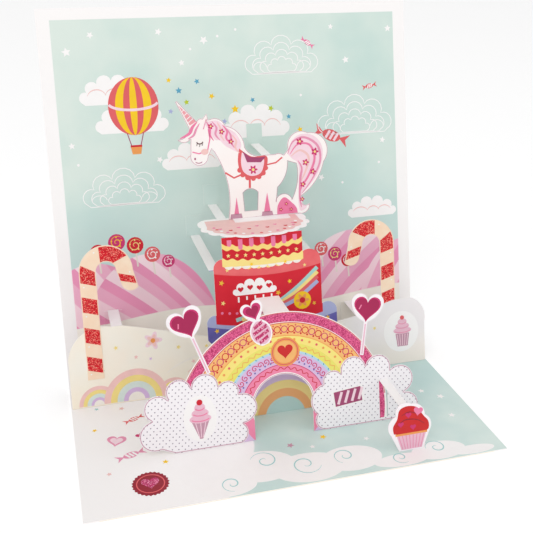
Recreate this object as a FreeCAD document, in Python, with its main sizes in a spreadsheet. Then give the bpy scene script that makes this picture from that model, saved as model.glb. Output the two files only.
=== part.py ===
import FreeCAD, Part
import math
import os

from FreeCAD import Placement, Rotation, Vector

# A square greeting card, folded once and stood open. Sheets of stiff paper stand
# up from its lower page, each parallel to the upper page that leans back.
# Millimetres. X to the right, Y to the back, Z up.
# The origin is under the middle of the card's box, on the surface it stands on.
# A sheet's distance is measured along the lower page from the fold, and heights
# on a sheet are measured up along its own face.

SIZES = {
    # the folded card
    "card_width": 160.0,
    "card_height": 159.5,
    "card_depth": 86.0,
    "card_stock": 0.6,
    "page_lean": 12.0,
    # the paper of the standing sheets, and their glue flaps
    "paper": 0.35,
    "flap_reach": 9.0,
    "foot_flap_reach": 6.0,
    "flap_margin": 1.6,
    # the low hill right across the card
    "hill_distance": 15.5,
    "hill_side_gap": 0.5,
    "hill_left_height": 33.2,
    "hill_valley_height": 24.8,
    "hill_right_height": 30.0,
    "hill_left_tab_x": -58.9,
    "hill_right_tab_x": 49.5,
    "hill_tab_width": 4.6,
    "hill_right_tab_width": 6.2,
    # the two candy canes
    "cane_width": 6.7,
    "cane_bend_radius": 7.5,
    "cane_bend_height": 56.6,
    "cane_hook_drop": 7.5,
    "cane_hook_spread": 1.8,
    "left_cane_x": -68.9,
    "left_cane_foot": 11.8,
    "right_cane_x": 62.2,
    "right_cane_foot": 16.0,
    # the tiered cake on its board
    "cake_distance": 39.4,
    "cake_foot_left": -16.5,
    "cake_foot_right": 23.5,
    "board_left": -25.3,
    "board_right": 29.0,
    "board_bottom": 31.5,
    "board_top": 43.8,
    "lower_tier_left": -21.4,
    "lower_tier_right": 22.8,
    "lower_tier_top": 62.3,
    "upper_tier_left": -17.6,
    "upper_tier_right": 15.4,
    "upper_tier_bottom": 66.2,
    "cake_strip_width": 4.0,
    "cake_left_strip_x": -21.2,
    "cake_right_strip_x": 20.6,
    # the frosting plate on the cake
    "plate_height": 75.1,
    "plate_back_distance": 19.0,
    "plate_front_distance": 41.6,
    "plate_left": -22.6,
    "plate_right": 20.6,
    "plate_scallops": 9.0,
    "plate_strip_x": -12.8,
    "plate_strip_width": 3.8,
    # the unicorn on the plate
    "unicorn_distance": 21.0,
    "unicorn_left": -29.6,
    "unicorn_width": 62.2,
    "unicorn_strip_width": 3.7,
    "unicorn_flap_reach": 4.5,
    # the rainbow arch and what is glued on it
    "rainbow_distance": 55.5,
    "rainbow_outer_radius": 43.2,
    "rainbow_outer_centre": 6.8,
    "rainbow_inner_radius": 12.0,
    "rainbow_inner_centre": 13.1,
    "rainbow_strip_x": -0.5,
    "rainbow_strip_width": 10.0,
    "rainbow_strip_height": 49.2,
    "left_cloud_left": -56.0,
    "left_cloud_width": 45.2,
    "right_cloud_left": 12.1,
    "right_cloud_width": 44.3,
    "cupcake_strip_x": 41.8,
    "cupcake_strip_width": 3.6,
    "cupcake_strip_height": 17.6,
    "heart_width": 13.4,
    "heart_stick_width": 1.5,
    "left_stick_x": -28.8,
    "left_heart_foot": 29.6,
    "left_heart_length": 15.4,
    "left_heart_tilt": 20.0,
    "right_stick_x": 33.0,
    "right_heart_foot": 28.6,
    "right_heart_length": 12.8,
    "right_heart_tilt": -9.0,
    "candy_x": -7.6,
    "candy_height": 43.0,
    "candy_length": 10.4,
    "candy_width": 8.6,
    "candy_heart_width": 8.8,
    "candy_heart_height": 7.6,
    "candy_tilt": 19.0,
    # the cupcake in front
    "cupcake_distance": 77.0,
    "cupcake_left": 35.4,
    "cupcake_width": 16.9,
}

doc = FreeCAD.newDocument("pop_up_card")
sheet = doc.addObject("Spreadsheet::Sheet", "Sizes")
for row, (alias, number) in enumerate(SIZES.items(), start=1):
    sheet.set("A%d" % row, alias)
    sheet.set("B%d" % row, str(number))
    sheet.setAlias("B%d" % row, alias)
doc.recompute()


def size(name):
    """The number in the sheet under this name."""
    return float(getattr(sheet, name))


LEAN = math.radians(size("page_lean"))
PAPER = size("paper")
# How far one glued sheet pushes the next one along the lower page
LAYER = PAPER / math.cos(LEAN)
# The card's box, from its front edge to the top of the leaning page
BACK_REACH = size("card_height") * math.sin(LEAN) + size("card_stock") * math.cos(LEAN)
MIDDLE = Vector(0, (size("card_depth") - BACK_REACH) / 2, size("card_stock"))


def level(height):
    """How high above the lower page a height along a leaning sheet is."""
    return height * math.cos(LEAN)


def page_line(height):
    """How far behind the fold the upper page is at a height along it."""
    return height * math.sin(LEAN)


def new_body(label):
    """A body that stands on the fold line, ready for its features."""
    body = doc.addObject("PartDesign::Body", label)
    body.Label = label
    body.Placement = Placement(MIDDLE, Rotation())
    return body


def new_sketch(body, role, offset, turn, shapes):
    """A sketch on one of the body's own planes, with its outlines."""
    plane = [p for p in body.Origin.OriginFeatures if p.Role == role][0]
    sketch = body.newObject("Sketcher::SketchObject", "outline")
    sketch.AttachmentSupport = (plane, [""])
    sketch.MapMode = "FlatFace"
    sketch.AttachmentOffset = Placement(offset, turn)
    for shape in shapes:
        sketch.addGeometry(edges(shape), False)
    return sketch


def edges(path):
    """Lines to (x, y) points, arcs to (via x, via y, x, y) points, closed at the end."""
    start = Vector(path[0][0], path[0][1], 0)
    found = []
    here = start
    for step in path[1:] + [path[0][:2]]:
        there = Vector(step[-2], step[-1], 0)
        if len(step) == 4:
            found.append(Part.Arc(here, Vector(step[0], step[1], 0), there))
        elif here.distanceToPoint(there) > 1e-6:
            found.append(Part.LineSegment(here, there))
        here = there
    return found


def pad(body, sketch, thickness, downward=False):
    """A pad whose length is bound to a named thickness."""
    feature = body.newObject("PartDesign::Pad", "pad")
    feature.Profile = sketch
    feature.setExpression("Length", "Sizes." + thickness)
    feature.Reversed = downward
    sketch.Visibility = False
    doc.recompute()
    return feature


def leaning(body, distance, shapes):
    """Paper that stands at a distance from the fold, parallel to the upper page."""
    turn = Rotation(Vector(1, 0, 0), -math.degrees(LEAN))
    sketch = new_sketch(body, "XZ_Plane", Vector(0, 0, distance), turn, shapes)
    return pad(body, sketch, "paper")


def lying(body, height, shapes, downward=False):
    """Paper that lies level, its face at a height along the leaning sheets."""
    offset = Vector(0, 0, level(height))
    sketch = new_sketch(body, "XY_Plane", offset, Rotation(), shapes)
    return pad(body, sketch, "paper", downward)


def rectangle(x_low, x_high, y_low, y_high):
    return [(x_low, y_low), (x_high, y_low), (x_high, y_high), (x_low, y_high)]


def strip_to_page(body, x, width, height, front, page_flap_up=True):
    """A level strip from the upper page forward, with its glue flap on the page."""
    half = width / 2
    back = page_line(height) - LAYER / 2
    lying(body, height, [rectangle(x - half, x + half, front, back)], downward=True)
    reach = size("flap_reach") if page_flap_up else -size("flap_reach")
    low, high = sorted((height - PAPER, height - PAPER + reach))
    edge = half + size("flap_margin")
    leaning(body, 0, [rectangle(x - edge, x + edge, low, high)])


def sheet_line(distance, height):
    """Where the middle of a standing sheet's paper is at a height along it."""
    return page_line(height) - distance - LAYER / 2


def foot_flap(body, distance, spans):
    """Glue flaps behind a standing sheet's foot, flat on the lower page."""
    front = -distance - LAYER / 2
    back = -distance + size("foot_flap_reach")
    lying(body, 0, [rectangle(low, high, front, back) for low, high in spans])


def placed(path, x, z, scale):
    """A drawn outline brought to its scale, with its zero point moved to x, z."""
    return [tuple(x + c * scale if k % 2 == 0 else z + c * scale
                  for k, c in enumerate(step)) for step in path]


def drawn_width(path):
    """The width of a drawn outline that starts at its left edge."""
    return max(x for step in path for x in step[0::2])


def turned(path, x, z, degrees):
    """A drawn outline turned about its own zero point and moved to x, z."""
    cos, sin = math.cos(math.radians(degrees)), math.sin(math.radians(degrees))
    result = []
    for step in path:
        pairs = list(zip(step[0::2], step[1::2]))
        result.append(tuple(c for u, v in pairs
                            for c in (x + u * cos - v * sin, z + u * sin + v * cos)))
    return result


def card():
    """The card itself: one thick sheet, folded once, with a round outer fold."""
    body = new_body("card")
    stock, deep, tall = size("card_stock"), size("card_depth"), size("card_height")
    up = Vector(math.sin(LEAN), math.cos(LEAN), 0)
    behind = Vector(math.cos(LEAN), -math.sin(LEAN), 0)
    fold_back = behind * stock
    bisector = Vector(behind.x, behind.y - 1, 0).normalize() * stock
    top, top_back = up * tall, up * tall + fold_back
    profile = [(-deep, 0), (-deep, -stock), (0, -stock),
               (bisector.x, bisector.y, fold_back.x, fold_back.y),
               (top_back.x, top_back.y), (top.x, top.y), (0, 0)]
    sketch = new_sketch(body, "YZ_Plane", Vector(), Rotation(), [profile])
    feature = pad(body, sketch, "card_width")
    feature.Midplane = True
    return body


def hill_step():
    """A low hill across the whole card, on two short tabs from the upper page."""
    body = new_body("hill_step")
    distance = size("hill_distance")
    left, valley = size("hill_left_height"), size("hill_valley_height")
    right, end = size("hill_right_height"), size("card_width") / 2 - size("hill_side_gap")
    left_tab, right_tab = size("hill_left_tab_x"), size("hill_right_tab_x")
    half, right_half = size("hill_tab_width") / 2, size("hill_right_tab_width") / 2
    crest, shoulder, soft = 10.0, 12.0, 6.0
    outline = [(-end, 0), (end, 0), (end, right - shoulder),
               (end - soft / 3, right - soft / 2, end - soft, right),
               (right_tab + right_half + shoulder, right),
               (right_tab + right_half + soft, right - (right - valley) / 3,
                right_tab + right_half, valley),
               (right_tab - right_half, valley),
               (0, valley - soft / 2, left_tab + crest + 2 * shoulder, valley),
               (left_tab + 1.5 * crest, (left + valley) / 2 + 1, left_tab + half, left),
               (left_tab - half, left),
               (-end + crest / 2, left - soft / 2, -end, left - shoulder)]
    leaning(body, distance, [outline])
    foot_flap(body, distance, [(-end + crest, end - crest)])
    strip_to_page(body, left_tab, 2 * half, left, sheet_line(distance, left), False)
    strip_to_page(body, right_tab, 2 * right_half, valley, sheet_line(distance, valley), False)
    return body


def cane(label, x, foot, side, distance):
    """A flat candy cane; side is 1 where its hook turns to the right."""
    body = new_body(label)
    half, radius = size("cane_width") / 2, size("cane_bend_radius")
    bend, drop, spread = size("cane_bend_height"), size("cane_hook_drop"), size("cane_hook_spread")
    outer, inner, tip = radius + half, radius - half, 1.4
    middle = radius + radius
    outline = [(-half, foot), (-half, bend),
               (radius, bend + outer, radius + outer, bend),
               (radius + outer + spread, bend - drop),
               (middle + spread, bend - drop - tip, middle - half + spread, bend - drop + tip),
               (radius + inner, bend),
               (radius, bend + inner, half, bend), (half, foot)]
    outline = [tuple(x + side * c if k % 2 == 0 else c for k, c in enumerate(step))
               for step in outline]
    leaning(body, distance, [outline])
    return body


def cake():
    """Two tiers on a round board, cut from one sheet, held by two strips."""
    body = new_body("cake")
    distance, reach = size("cake_distance"), size("plate_height")
    tier_left, tier_right = size("lower_tier_left"), size("lower_tier_right")
    board_left, board_right = size("board_left"), size("board_right")
    low, high = size("board_bottom"), size("board_top")
    top, upper = size("lower_tier_top"), size("upper_tier_bottom")
    upper_left, upper_right = size("upper_tier_left"), size("upper_tier_right")
    foot_left, foot_right = size("cake_foot_left"), size("cake_foot_right")
    top_edge = reach - PAPER / math.cos(LEAN) - PAPER * math.tan(LEAN)
    round_off = 2.6
    outline = [(foot_left, 0), (foot_right, 0), (foot_right, low - round_off),
               (board_right - round_off, low, board_right, low + round_off),
               (board_right, high - round_off),
               (board_right - round_off / 3, high - round_off / 3, tier_right, high),
               (tier_right, top),
               (tier_right - round_off / 3, top + round_off, upper_right, upper),
               (upper_right, top_edge), (upper_left, top_edge), (upper_left, upper),
               (tier_left + round_off / 3, top + round_off, tier_left, top),
               (tier_left, high),
               (board_left + round_off / 3, high - round_off / 3, board_left, high - round_off),
               (board_left, low + round_off),
               (board_left + round_off, low, foot_left, low - round_off)]
    leaning(body, distance, [outline])
    foot_flap(body, distance, [(foot_left + round_off, foot_right - round_off)])
    width = size("cake_strip_width")
    for x in (size("cake_left_strip_x"), size("cake_right_strip_x")):
        strip_to_page(body, x, width, top, sheet_line(distance, top))
    line = sheet_line(distance, reach)
    flap = rectangle(upper_left + round_off, upper_right - round_off,
                     line, line + size("foot_flap_reach"))
    lying(body, reach - PAPER / math.cos(LEAN), [flap], downward=True)
    return body


def frosting_plate():
    """A level plate with a scalloped front edge, on a strip from the upper page."""
    body = new_body("frosting_plate")
    height = size("plate_height")
    shift = page_line(height)
    back, front = shift - size("plate_back_distance"), shift - size("plate_front_distance")
    left, right = size("plate_left"), size("plate_right")
    centre, half = (left + right) / 2, (right - left) / 2
    count = int(size("plate_scallops"))
    bulge = 0.07
    side = (front + back) / 2 + (back - front) * 0.1
    deep = side - front

    def rim(turn, swell=0.0):
        angle = math.pi * (1 + turn)
        return (centre + half * (1 + swell) * math.cos(angle),
                side + deep * (1 + swell) * math.sin(angle))

    outline = [rim(0)]
    for k in range(count):
        via = rim((k + 0.5) / count, bulge)
        outline.append(via + rim((k + 1) / count))
    corner = 4.0
    outline += [(right - corner / 4, back - corner / 4, right - corner, back),
                (left + corner, back), (left + corner / 4, back - corner / 4, left, side)]
    lying(body, height, [outline], downward=True)
    x, width = size("plate_strip_x"), size("plate_strip_width")
    strip_to_page(body, x, width, height, back - corner / 2)
    return body


# Heights are above the plate, and the unicorn looks to the left.
UNICORN = [
    (19.2, 0), (49.6, 0), (53.2, 0.9, 54.2, 4.0), (51.6, 3.6, 51.2, 7.6),
    (58.0, 14.0, 61.2, 21.0), (61.6, 30.4, 54.6, 33.4), (48.2, 33.2, 45.8, 27.0),
    (43.9, 24.8), (42.4, 25.6, 40.2, 25.4), (35.2, 25.4), (31.4, 25.6, 27.6, 29.0),
    (25.4, 35.0, 20.0, 38.2), (17.0, 41.2, 13.2, 40.8), (12.6, 43.4), (10.8, 41.4),
    (9.6, 41.6, 8.6, 40.4), (1.0, 49.0), (0.4, 48.6), (5.2, 38.0), (3.6, 34.8, 0.3, 33.8),
    (3.0, 32.4, 5.6, 33.8), (5.2, 27.6), (8.2, 22.9, 12.4, 26.4), (14.0, 29.4),
    (17.6, 22.2, 19.8, 14.0), (20.0, 6.4, 19.2, 0),
]
BELLY_GAP = [
    (26.0, 2.8), (31.8, 2.8), (32.4, 10.4), (29.2, 12.2, 25.6, 10.6),
]
TAIL_GAP = [
    (45.2, 22.6), (44.4, 17.4, 40.4, 11.8), (39.6, 5.6), (43.4, 8.6, 46.6, 5.8),
    (49.4, 13.2, 49.4, 21.2),
]


# Where the strip from the upper page is glued behind its back, to the right and up
STRIP_PLACE = (37.138, 24.858)


def unicorn():
    """A unicorn cut from one sheet, stood on the plate and held at its back."""
    body = new_body("unicorn")
    distance, height = size("unicorn_distance"), size("plate_height")
    left, width = size("unicorn_left"), size("unicorn_width")
    scale = width / drawn_width(UNICORN)
    figure, belly, tail = (placed(path, left, height, scale)
                           for path in (UNICORN, BELLY_GAP, TAIL_GAP))
    leaning(body, distance, [figure, belly, tail])
    line = sheet_line(distance, height)
    flap = rectangle(left + width * 0.34, left + width * 0.72,
                     line - size("unicorn_flap_reach"), line)
    lying(body, height, [flap])
    x, strip = placed([STRIP_PLACE], left, height, scale)[0]
    strip_to_page(body, x, size("unicorn_strip_width"), strip, sheet_line(distance, strip))
    return body


def rainbow_arch():
    """A broad rainbow arch with an open middle, held to the cake by one strip."""
    body = new_body("rainbow_arch")
    distance = size("rainbow_distance")
    outer, outer_z = size("rainbow_outer_radius"), size("rainbow_outer_centre")
    inner, inner_z = size("rainbow_inner_radius"), size("rainbow_inner_centre")
    outline = [(-outer, 0), (-outer, outer_z), (0, outer_z + outer, outer, outer_z),
               (outer, 0), (inner, 0), (inner, inner_z),
               (0, inner_z + inner, -inner, inner_z), (-inner, 0)]
    leaning(body, distance, [outline])
    inset = 5.0
    foot_flap(body, distance, [(-outer + inset, -inner - inset), (inner + inset, outer - inset)])
    height, half = size("rainbow_strip_height"), size("rainbow_strip_width") / 2
    x = size("rainbow_strip_x")
    glued = page_line(height) - size("cake_distance") - LAYER
    strip = rectangle(x - half, x + half, sheet_line(distance, height), glued - LAYER / 2)
    lying(body, height, [strip], downward=True)
    flap = rectangle(x - half, x + half, height - size("flap_reach"), height)
    leaning(body, size("cake_distance") + LAYER, [flap])
    return body


LEFT_CLOUD = [
    (13.0, 0), (7.6, 2.4), (-0.6, 7.8, 4.6, 14.4), (2.4, 21.4, 11.6, 21.8), (14.6, 29.6, 20.6, 25.6),
    (26.4, 30.6, 31.4, 24.8), (37.4, 25.8, 39.4, 20.6), (46.6, 13.6, 40.6, 8.2),
    (42.6, 4.0, 39.6, 0),
]

RIGHT_CLOUD = [
    (4.9, 0), (0.8, 3.4, 1.5, 7.0), (-0.9, 13.4, 4.5, 19.2), (7.6, 24.4, 12.2, 22.6),
    (18.0, 29.2, 22.9, 24.5), (29.4, 28.4, 33.6, 21.4), (42.6, 20.4, 39.4, 11.0),
    (45.4, 7.4, 42.2, 0),
]


def left_cloud():
    """A cloud glued on the rainbow's left foot."""
    body = new_body("left_cloud")
    scale = size("left_cloud_width") / drawn_width(LEFT_CLOUD)
    outline = placed(LEFT_CLOUD, size("left_cloud_left"), 0, scale)
    leaning(body, size("rainbow_distance") + LAYER, [outline])
    return body


def right_cloud():
    """A cloud glued on the rainbow's right foot; a strip cut from it reaches forward."""
    body = new_body("right_cloud")
    distance = size("rainbow_distance") + LAYER
    x, half = size("cupcake_strip_x"), size("cupcake_strip_width") / 2
    height, hem = size("cupcake_strip_height"), 1.2
    scale = size("right_cloud_width") / drawn_width(RIGHT_CLOUD)
    outline = placed(RIGHT_CLOUD, size("right_cloud_left"), 0, scale)
    slot = rectangle(x - half, x + half, hem, height - PAPER)
    leaning(body, distance, [outline, slot])
    flap_face = size("cupcake_distance") - LAYER
    strip = rectangle(x - half, x + half, page_line(height) - flap_face - LAYER / 2,
                      sheet_line(distance, height))
    lying(body, height, [strip], downward=True)
    leaning(body, flap_face, [rectangle(x - half, x + half, height - size("flap_reach"), height)])
    return body


def heart_pick(label, x, foot, length, tilt):
    """A heart on a flat stick, its lower end glued on the rainbow."""
    body = new_body(label)
    wide, stick = size("heart_width") / 2, size("heart_stick_width") / 2
    tip = length
    outline = [(-stick, 0), (stick, 0), (stick, tip + stick),
               (wide * 0.82, tip + wide * 0.72, wide, tip + wide * 1.15),
               (wide * 0.62, tip + wide * 1.78, 0, tip + wide * 1.32),
               (-wide * 0.62, tip + wide * 1.78, -wide, tip + wide * 1.15),
               (-wide * 0.82, tip + wide * 0.72, -stick, tip + stick)]
    leaning(body, size("rainbow_distance") + LAYER, [turned(outline, x, foot, tilt)])
    return body


def wrapped_candy():
    """A wrapped sweet with a heart-shaped twist, glued on the rainbow's top."""
    body = new_body("wrapped_candy")
    half, wide = size("candy_length") / 2, size("candy_width") / 2
    heart, high = size("candy_heart_width") / 2, size("candy_heart_height")
    neck = wide * 0.3
    outline = [(-neck, -half), (neck, -half), (wide, 0, neck, half),
               (heart * 0.8, half + high * 0.36, heart, half + high * 0.66),
               (heart * 0.58, half + high, 0, half + high * 0.74),
               (-heart * 0.58, half + high, -heart, half + high * 0.66),
               (-heart * 0.8, half + high * 0.36, -neck, half), (-wide, 0, -neck, -half)]
    place = turned(outline, size("candy_x"), size("candy_height"), size("candy_tilt"))
    leaning(body, size("rainbow_distance") + LAYER, [place])
    return body


CUPCAKE = [
    (3.6, 0), (13.6, 0), (16.4, 6.8), (17.2, 10.4, 14.6, 13.6), (12.6, 17.8, 9.0, 18.6),
    (4.6, 19.0, 2.6, 14.4), (-0.4, 11.6, 0.4, 6.8),
]


def front_cupcake():
    """A cupcake that stands in front, on its own foot flap."""
    body = new_body("front_cupcake")
    distance, left, width = size("cupcake_distance"), size("cupcake_left"), size("cupcake_width")
    leaning(body, distance, [placed(CUPCAKE, left, 0, width / drawn_width(CUPCAKE))])
    foot_flap(body, distance, [(left + width * 0.28, left + width * 0.74)])
    return body


def build():
    """Every piece of the card, from the back to the front."""
    hill = size("hill_distance")
    return [
        card(),
        hill_step(),
        cane("left_cane", size("left_cane_x"), size("left_cane_foot"), 1, hill + LAYER),
        cane("right_cane", size("right_cane_x"), size("right_cane_foot"), -1, hill - LAYER),
        cake(),
        frosting_plate(),
        unicorn(),
        rainbow_arch(),
        heart_pick("left_heart", size("left_stick_x"), size("left_heart_foot"),
                   size("left_heart_length"), size("left_heart_tilt")),
        heart_pick("right_heart", size("right_stick_x"), size("right_heart_foot"),
                   size("right_heart_length"), size("right_heart_tilt")),
        wrapped_candy(),
        left_cloud(),
        right_cloud(),
        front_cupcake(),
    ]


pieces = build()
doc.recompute()
for item in doc.Objects:
    if "Invalid" in item.State or "Error" in item.State:
        raise RuntimeError("%s did not build: %s" % (item.Name, item.State))
for piece in pieces:
    if piece.Shape.isNull() or not piece.Shape.isValid():
        raise RuntimeError("%s has no valid shape" % piece.Label)

os.makedirs("parts", exist_ok=True)
for piece in pieces:
    piece.Shape.exportStep("parts/%s.step" % piece.Label)
    box = piece.Shape.BoundBox
    print("%-16s solids %d  x %.1f %.1f  y %.1f %.1f  z %.1f %.1f  volume %.1f" % (
        piece.Label, len(piece.Shape.Solids), box.XMin, box.XMax, box.YMin, box.YMax,
        box.ZMin, box.ZMax, piece.Shape.Volume))
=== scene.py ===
import math

import bmesh
import bpy
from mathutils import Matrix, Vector


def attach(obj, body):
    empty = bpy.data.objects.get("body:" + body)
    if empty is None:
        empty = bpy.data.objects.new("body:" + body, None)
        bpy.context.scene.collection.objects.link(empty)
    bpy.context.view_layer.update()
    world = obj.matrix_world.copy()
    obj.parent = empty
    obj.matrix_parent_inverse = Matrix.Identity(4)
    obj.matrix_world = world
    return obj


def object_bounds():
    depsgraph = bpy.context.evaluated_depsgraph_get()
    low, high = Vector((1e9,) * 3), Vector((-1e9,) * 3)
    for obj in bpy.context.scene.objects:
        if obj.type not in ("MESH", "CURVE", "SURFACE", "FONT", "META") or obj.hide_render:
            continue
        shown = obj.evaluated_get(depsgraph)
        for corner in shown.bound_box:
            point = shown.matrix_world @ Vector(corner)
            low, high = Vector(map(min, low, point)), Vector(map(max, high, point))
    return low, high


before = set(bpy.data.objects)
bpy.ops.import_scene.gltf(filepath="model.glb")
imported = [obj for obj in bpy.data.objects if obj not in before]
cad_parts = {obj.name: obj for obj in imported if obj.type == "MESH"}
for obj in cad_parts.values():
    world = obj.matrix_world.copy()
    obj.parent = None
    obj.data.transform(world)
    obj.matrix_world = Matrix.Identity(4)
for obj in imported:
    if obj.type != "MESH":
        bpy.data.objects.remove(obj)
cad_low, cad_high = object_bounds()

# The card's own measures, in millimetres
MM = 0.001
LEAN = math.radians(12.0)
PAPER = 0.35
STOCK = 0.6
DEPTH = 86.0
LAYER = PAPER / math.cos(LEAN)
FOLD_Y = cad_low.y / MM + DEPTH
HILL, CAKE, RAINBOW, UNICORN, CUPCAKE = 15.5, 39.4, 55.5, 21.0, 77.0
PLATE_HEIGHT = 75.1
# How thick one film of print lies on its sheet
INK = 0.02
UP = Vector((0, math.sin(LEAN), math.cos(LEAN)))
FACING = Vector((0, -math.cos(LEAN), math.sin(LEAN)))


# Faces that carry print: each turns a place on the face into a point in the frame

def standing(distance):
    """The front face of a leaning sheet; u to the right, v up along it."""
    foot = Vector((0, FOLD_Y - distance, STOCK))

    def at(u, v, lift):
        return (foot + Vector((u, 0, 0)) + UP * v + FACING * lift) * MM
    return at


def lying(height):
    """A level face; u to the right, v forward from the fold."""
    def at(u, v, lift):
        return Vector((u, FOLD_Y - v, STOCK + height + lift)) * MM
    return at


PAGE = standing(0.0)
FLOOR_PAGE = lying(0.0)
ON_HILL = standing(HILL + LAYER)
ON_CANE = standing(HILL + 2 * LAYER)
BEHIND_CANE = standing(HILL)
ON_CAKE = standing(CAKE + LAYER)
ON_UNICORN = standing(UNICORN + LAYER)
ON_RAINBOW = standing(RAINBOW + LAYER)
ON_CLOUD = standing(RAINBOW + 2 * LAYER)
ON_CUPCAKE = standing(CUPCAKE + LAYER)
PLATE_LEVEL = PLATE_HEIGHT * math.cos(LEAN)
ON_PLATE = lying(PLATE_LEVEL)


# Colours, as they are seen

def colour(red, green, blue):
    """A linear colour from the usual 0 to 255 numbers."""
    def linear(c):
        c /= 255.0
        return c / 12.92 if c <= 0.04045 else ((c + 0.055) / 1.055) ** 2.4
    return (linear(red), linear(green), linear(blue), 1.0)


INKS = {
    "white": (250, 247, 246), "cream": (248, 242, 232), "sky": (196, 219, 212),
    "deep_sky": (158, 196, 195), "pale_sky": (216, 229, 223), "rose": (232, 150, 180),
    "pale_rose": (248, 218, 228), "blush": (244, 200, 196), "coral": (226, 96, 100),
    "red": (208, 16, 42), "dark_red": (150, 22, 44), "scarlet": (205, 14, 18),
    "yellow": (250, 205, 30), "butter": (247, 224, 140), "lime": (190, 205, 40),
    "orange": (240, 158, 84), "apricot": (247, 186, 112), "blue": (90, 165, 195), "aqua": (165, 212, 210),
    "violet": (104, 98, 172), "lilac": (172, 180, 220), "pale_lilac": (216, 186, 226),
    "magenta": (206, 48, 112), "heart": (170, 10, 80), "pink": (238, 128, 168),
    "cup_pink": (238, 190, 208), "plum": (165, 70, 112), "mauve": (200, 150, 170),
    "peach": (250, 222, 192), "grey": (120, 112, 125), "brown": (96, 60, 62),
    "stem": (235, 224, 214), "gold": (238, 190, 60), "horn": (238, 160, 168),
}


class Paint:
    """A node material in millimetres, built up one node at a time."""

    def __init__(self, name, roughness=0.5, bump=0.12, grain=9.0):
        self.material = bpy.data.materials.new(name)
        self.material.use_nodes = True
        self.tree = self.material.node_tree
        self.shader = self.tree.nodes["Principled BSDF"]
        self.shader.inputs["Roughness"].default_value = roughness
        self.shader.inputs["Specular IOR Level"].default_value = 0.35
        place = self.node("ShaderNodeTexCoord").outputs["Object"]
        scaled = self.node("ShaderNodeVectorMath", operation="SCALE")
        self.feed(scaled.inputs[0], place)
        scaled.inputs["Scale"].default_value = 1 / MM
        self.place = scaled.outputs[0]
        split = self.node("ShaderNodeSeparateXYZ")
        self.feed(split.inputs[0], self.place)
        self.x, self.y, self.z = split.outputs
        fibres = self.noise(grain, 4.0)
        bumps = self.node("ShaderNodeBump")
        bumps.inputs["Strength"].default_value = bump
        bumps.inputs["Distance"].default_value = 0.0002
        self.feed(bumps.inputs["Height"], fibres)
        self.feed(self.shader.inputs["Normal"], bumps.outputs[0])
        self.bumps = bumps

    def node(self, kind, **settings):
        made = self.tree.nodes.new(kind)
        for key, value in settings.items():
            setattr(made, key, value)
        return made

    def feed(self, socket, value):
        if isinstance(value, bpy.types.NodeSocket):
            self.tree.links.new(value, socket)
        else:
            socket.default_value = value

    def math(self, operation, a, b=0.0, c=0.0):
        made = self.node("ShaderNodeMath", operation=operation)
        for socket, value in zip(made.inputs, (a, b, c)):
            self.feed(socket, value)
        return made.outputs[0]

    def noise(self, scale, detail=2.0):
        """Soft grey noise, with its scale in waves a centimetre."""
        made = self.node("ShaderNodeTexNoise")
        self.feed(made.inputs["Vector"], self.place)
        made.inputs["Scale"].default_value = scale / 10
        made.inputs["Detail"].default_value = detail
        return made.outputs[0]

    def mix(self, share, a, b):
        made = self.node("ShaderNodeMix", data_type="RGBA")
        self.feed(made.inputs[0], share)
        self.feed(made.inputs[6], a)
        self.feed(made.inputs[7], b)
        return made.outputs[2]

    def step(self, value, edge, soft=0.12):
        """0 below an edge and 1 above it, with a soft printed border."""
        made = self.node("ShaderNodeMapRange", interpolation_type="SMOOTHSTEP")
        self.feed(made.inputs["Value"], value)
        made.inputs["From Min"].default_value = edge - soft
        made.inputs["From Max"].default_value = edge + soft
        return made.outputs[0]

    def both(self, a, b):
        return self.math("MULTIPLY", a, b)

    def flip(self, a):
        return self.math("SUBTRACT", 1.0, a)

    def slant(self):
        """The height along a leaning sheet; its foot's distance shifts it a little."""
        along = self.math("MULTIPLY", self.y, math.sin(LEAN))
        rise = self.math("MULTIPLY_ADD", self.z, math.cos(LEAN), along)
        return self.math("SUBTRACT", rise,
                         FOLD_Y * math.sin(LEAN) + STOCK * math.cos(LEAN))

    def sheet_height(self, distance):
        """The height along the sheet that stands at this distance."""
        return self.math("ADD", self.slant(), distance * math.sin(LEAN))

    def oval(self, u, v, cu, cv, ru, rv):
        """How far out a place is in an oval: 1 on its rim."""
        a = self.math("DIVIDE", self.math("SUBTRACT", u, cu), ru)
        b = self.math("DIVIDE", self.math("SUBTRACT", v, cv), rv)
        return self.math("SQRT", self.math("ADD", self.math("POWER", a, 2.0),
                                           self.math("POWER", b, 2.0)))

    def normal_part(self, direction):
        """How much the real face looks in a direction."""
        normal = self.node("ShaderNodeNewGeometry").outputs["True Normal"]
        made = self.node("ShaderNodeVectorMath", operation="DOT_PRODUCT")
        self.feed(made.inputs[0], normal)
        made.inputs[1].default_value = direction
        return made.outputs["Value"]

    def colour_is(self, value):
        self.feed(self.shader.inputs["Base Color"], value)
        return self.material


def mottled(paint, base, strength=0.06, scale=3.0):
    """A printed colour with the soft unevenness of ink on paper."""
    darker = tuple(c * (1 - strength * 2) for c in base[:3]) + (1.0,)
    lighter = tuple(min(1.0, c * (1 + strength)) for c in base[:3]) + (1.0,)
    return paint.mix(paint.noise(scale, 3.0), darker, lighter)


def ink_material(name, roughness=0.42):
    paint = Paint("ink_" + name, roughness=roughness)
    unevenness = 0.012 if name == "white" else 0.05
    return paint.colour_is(mottled(paint, colour(*INKS[name]), unevenness))


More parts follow.
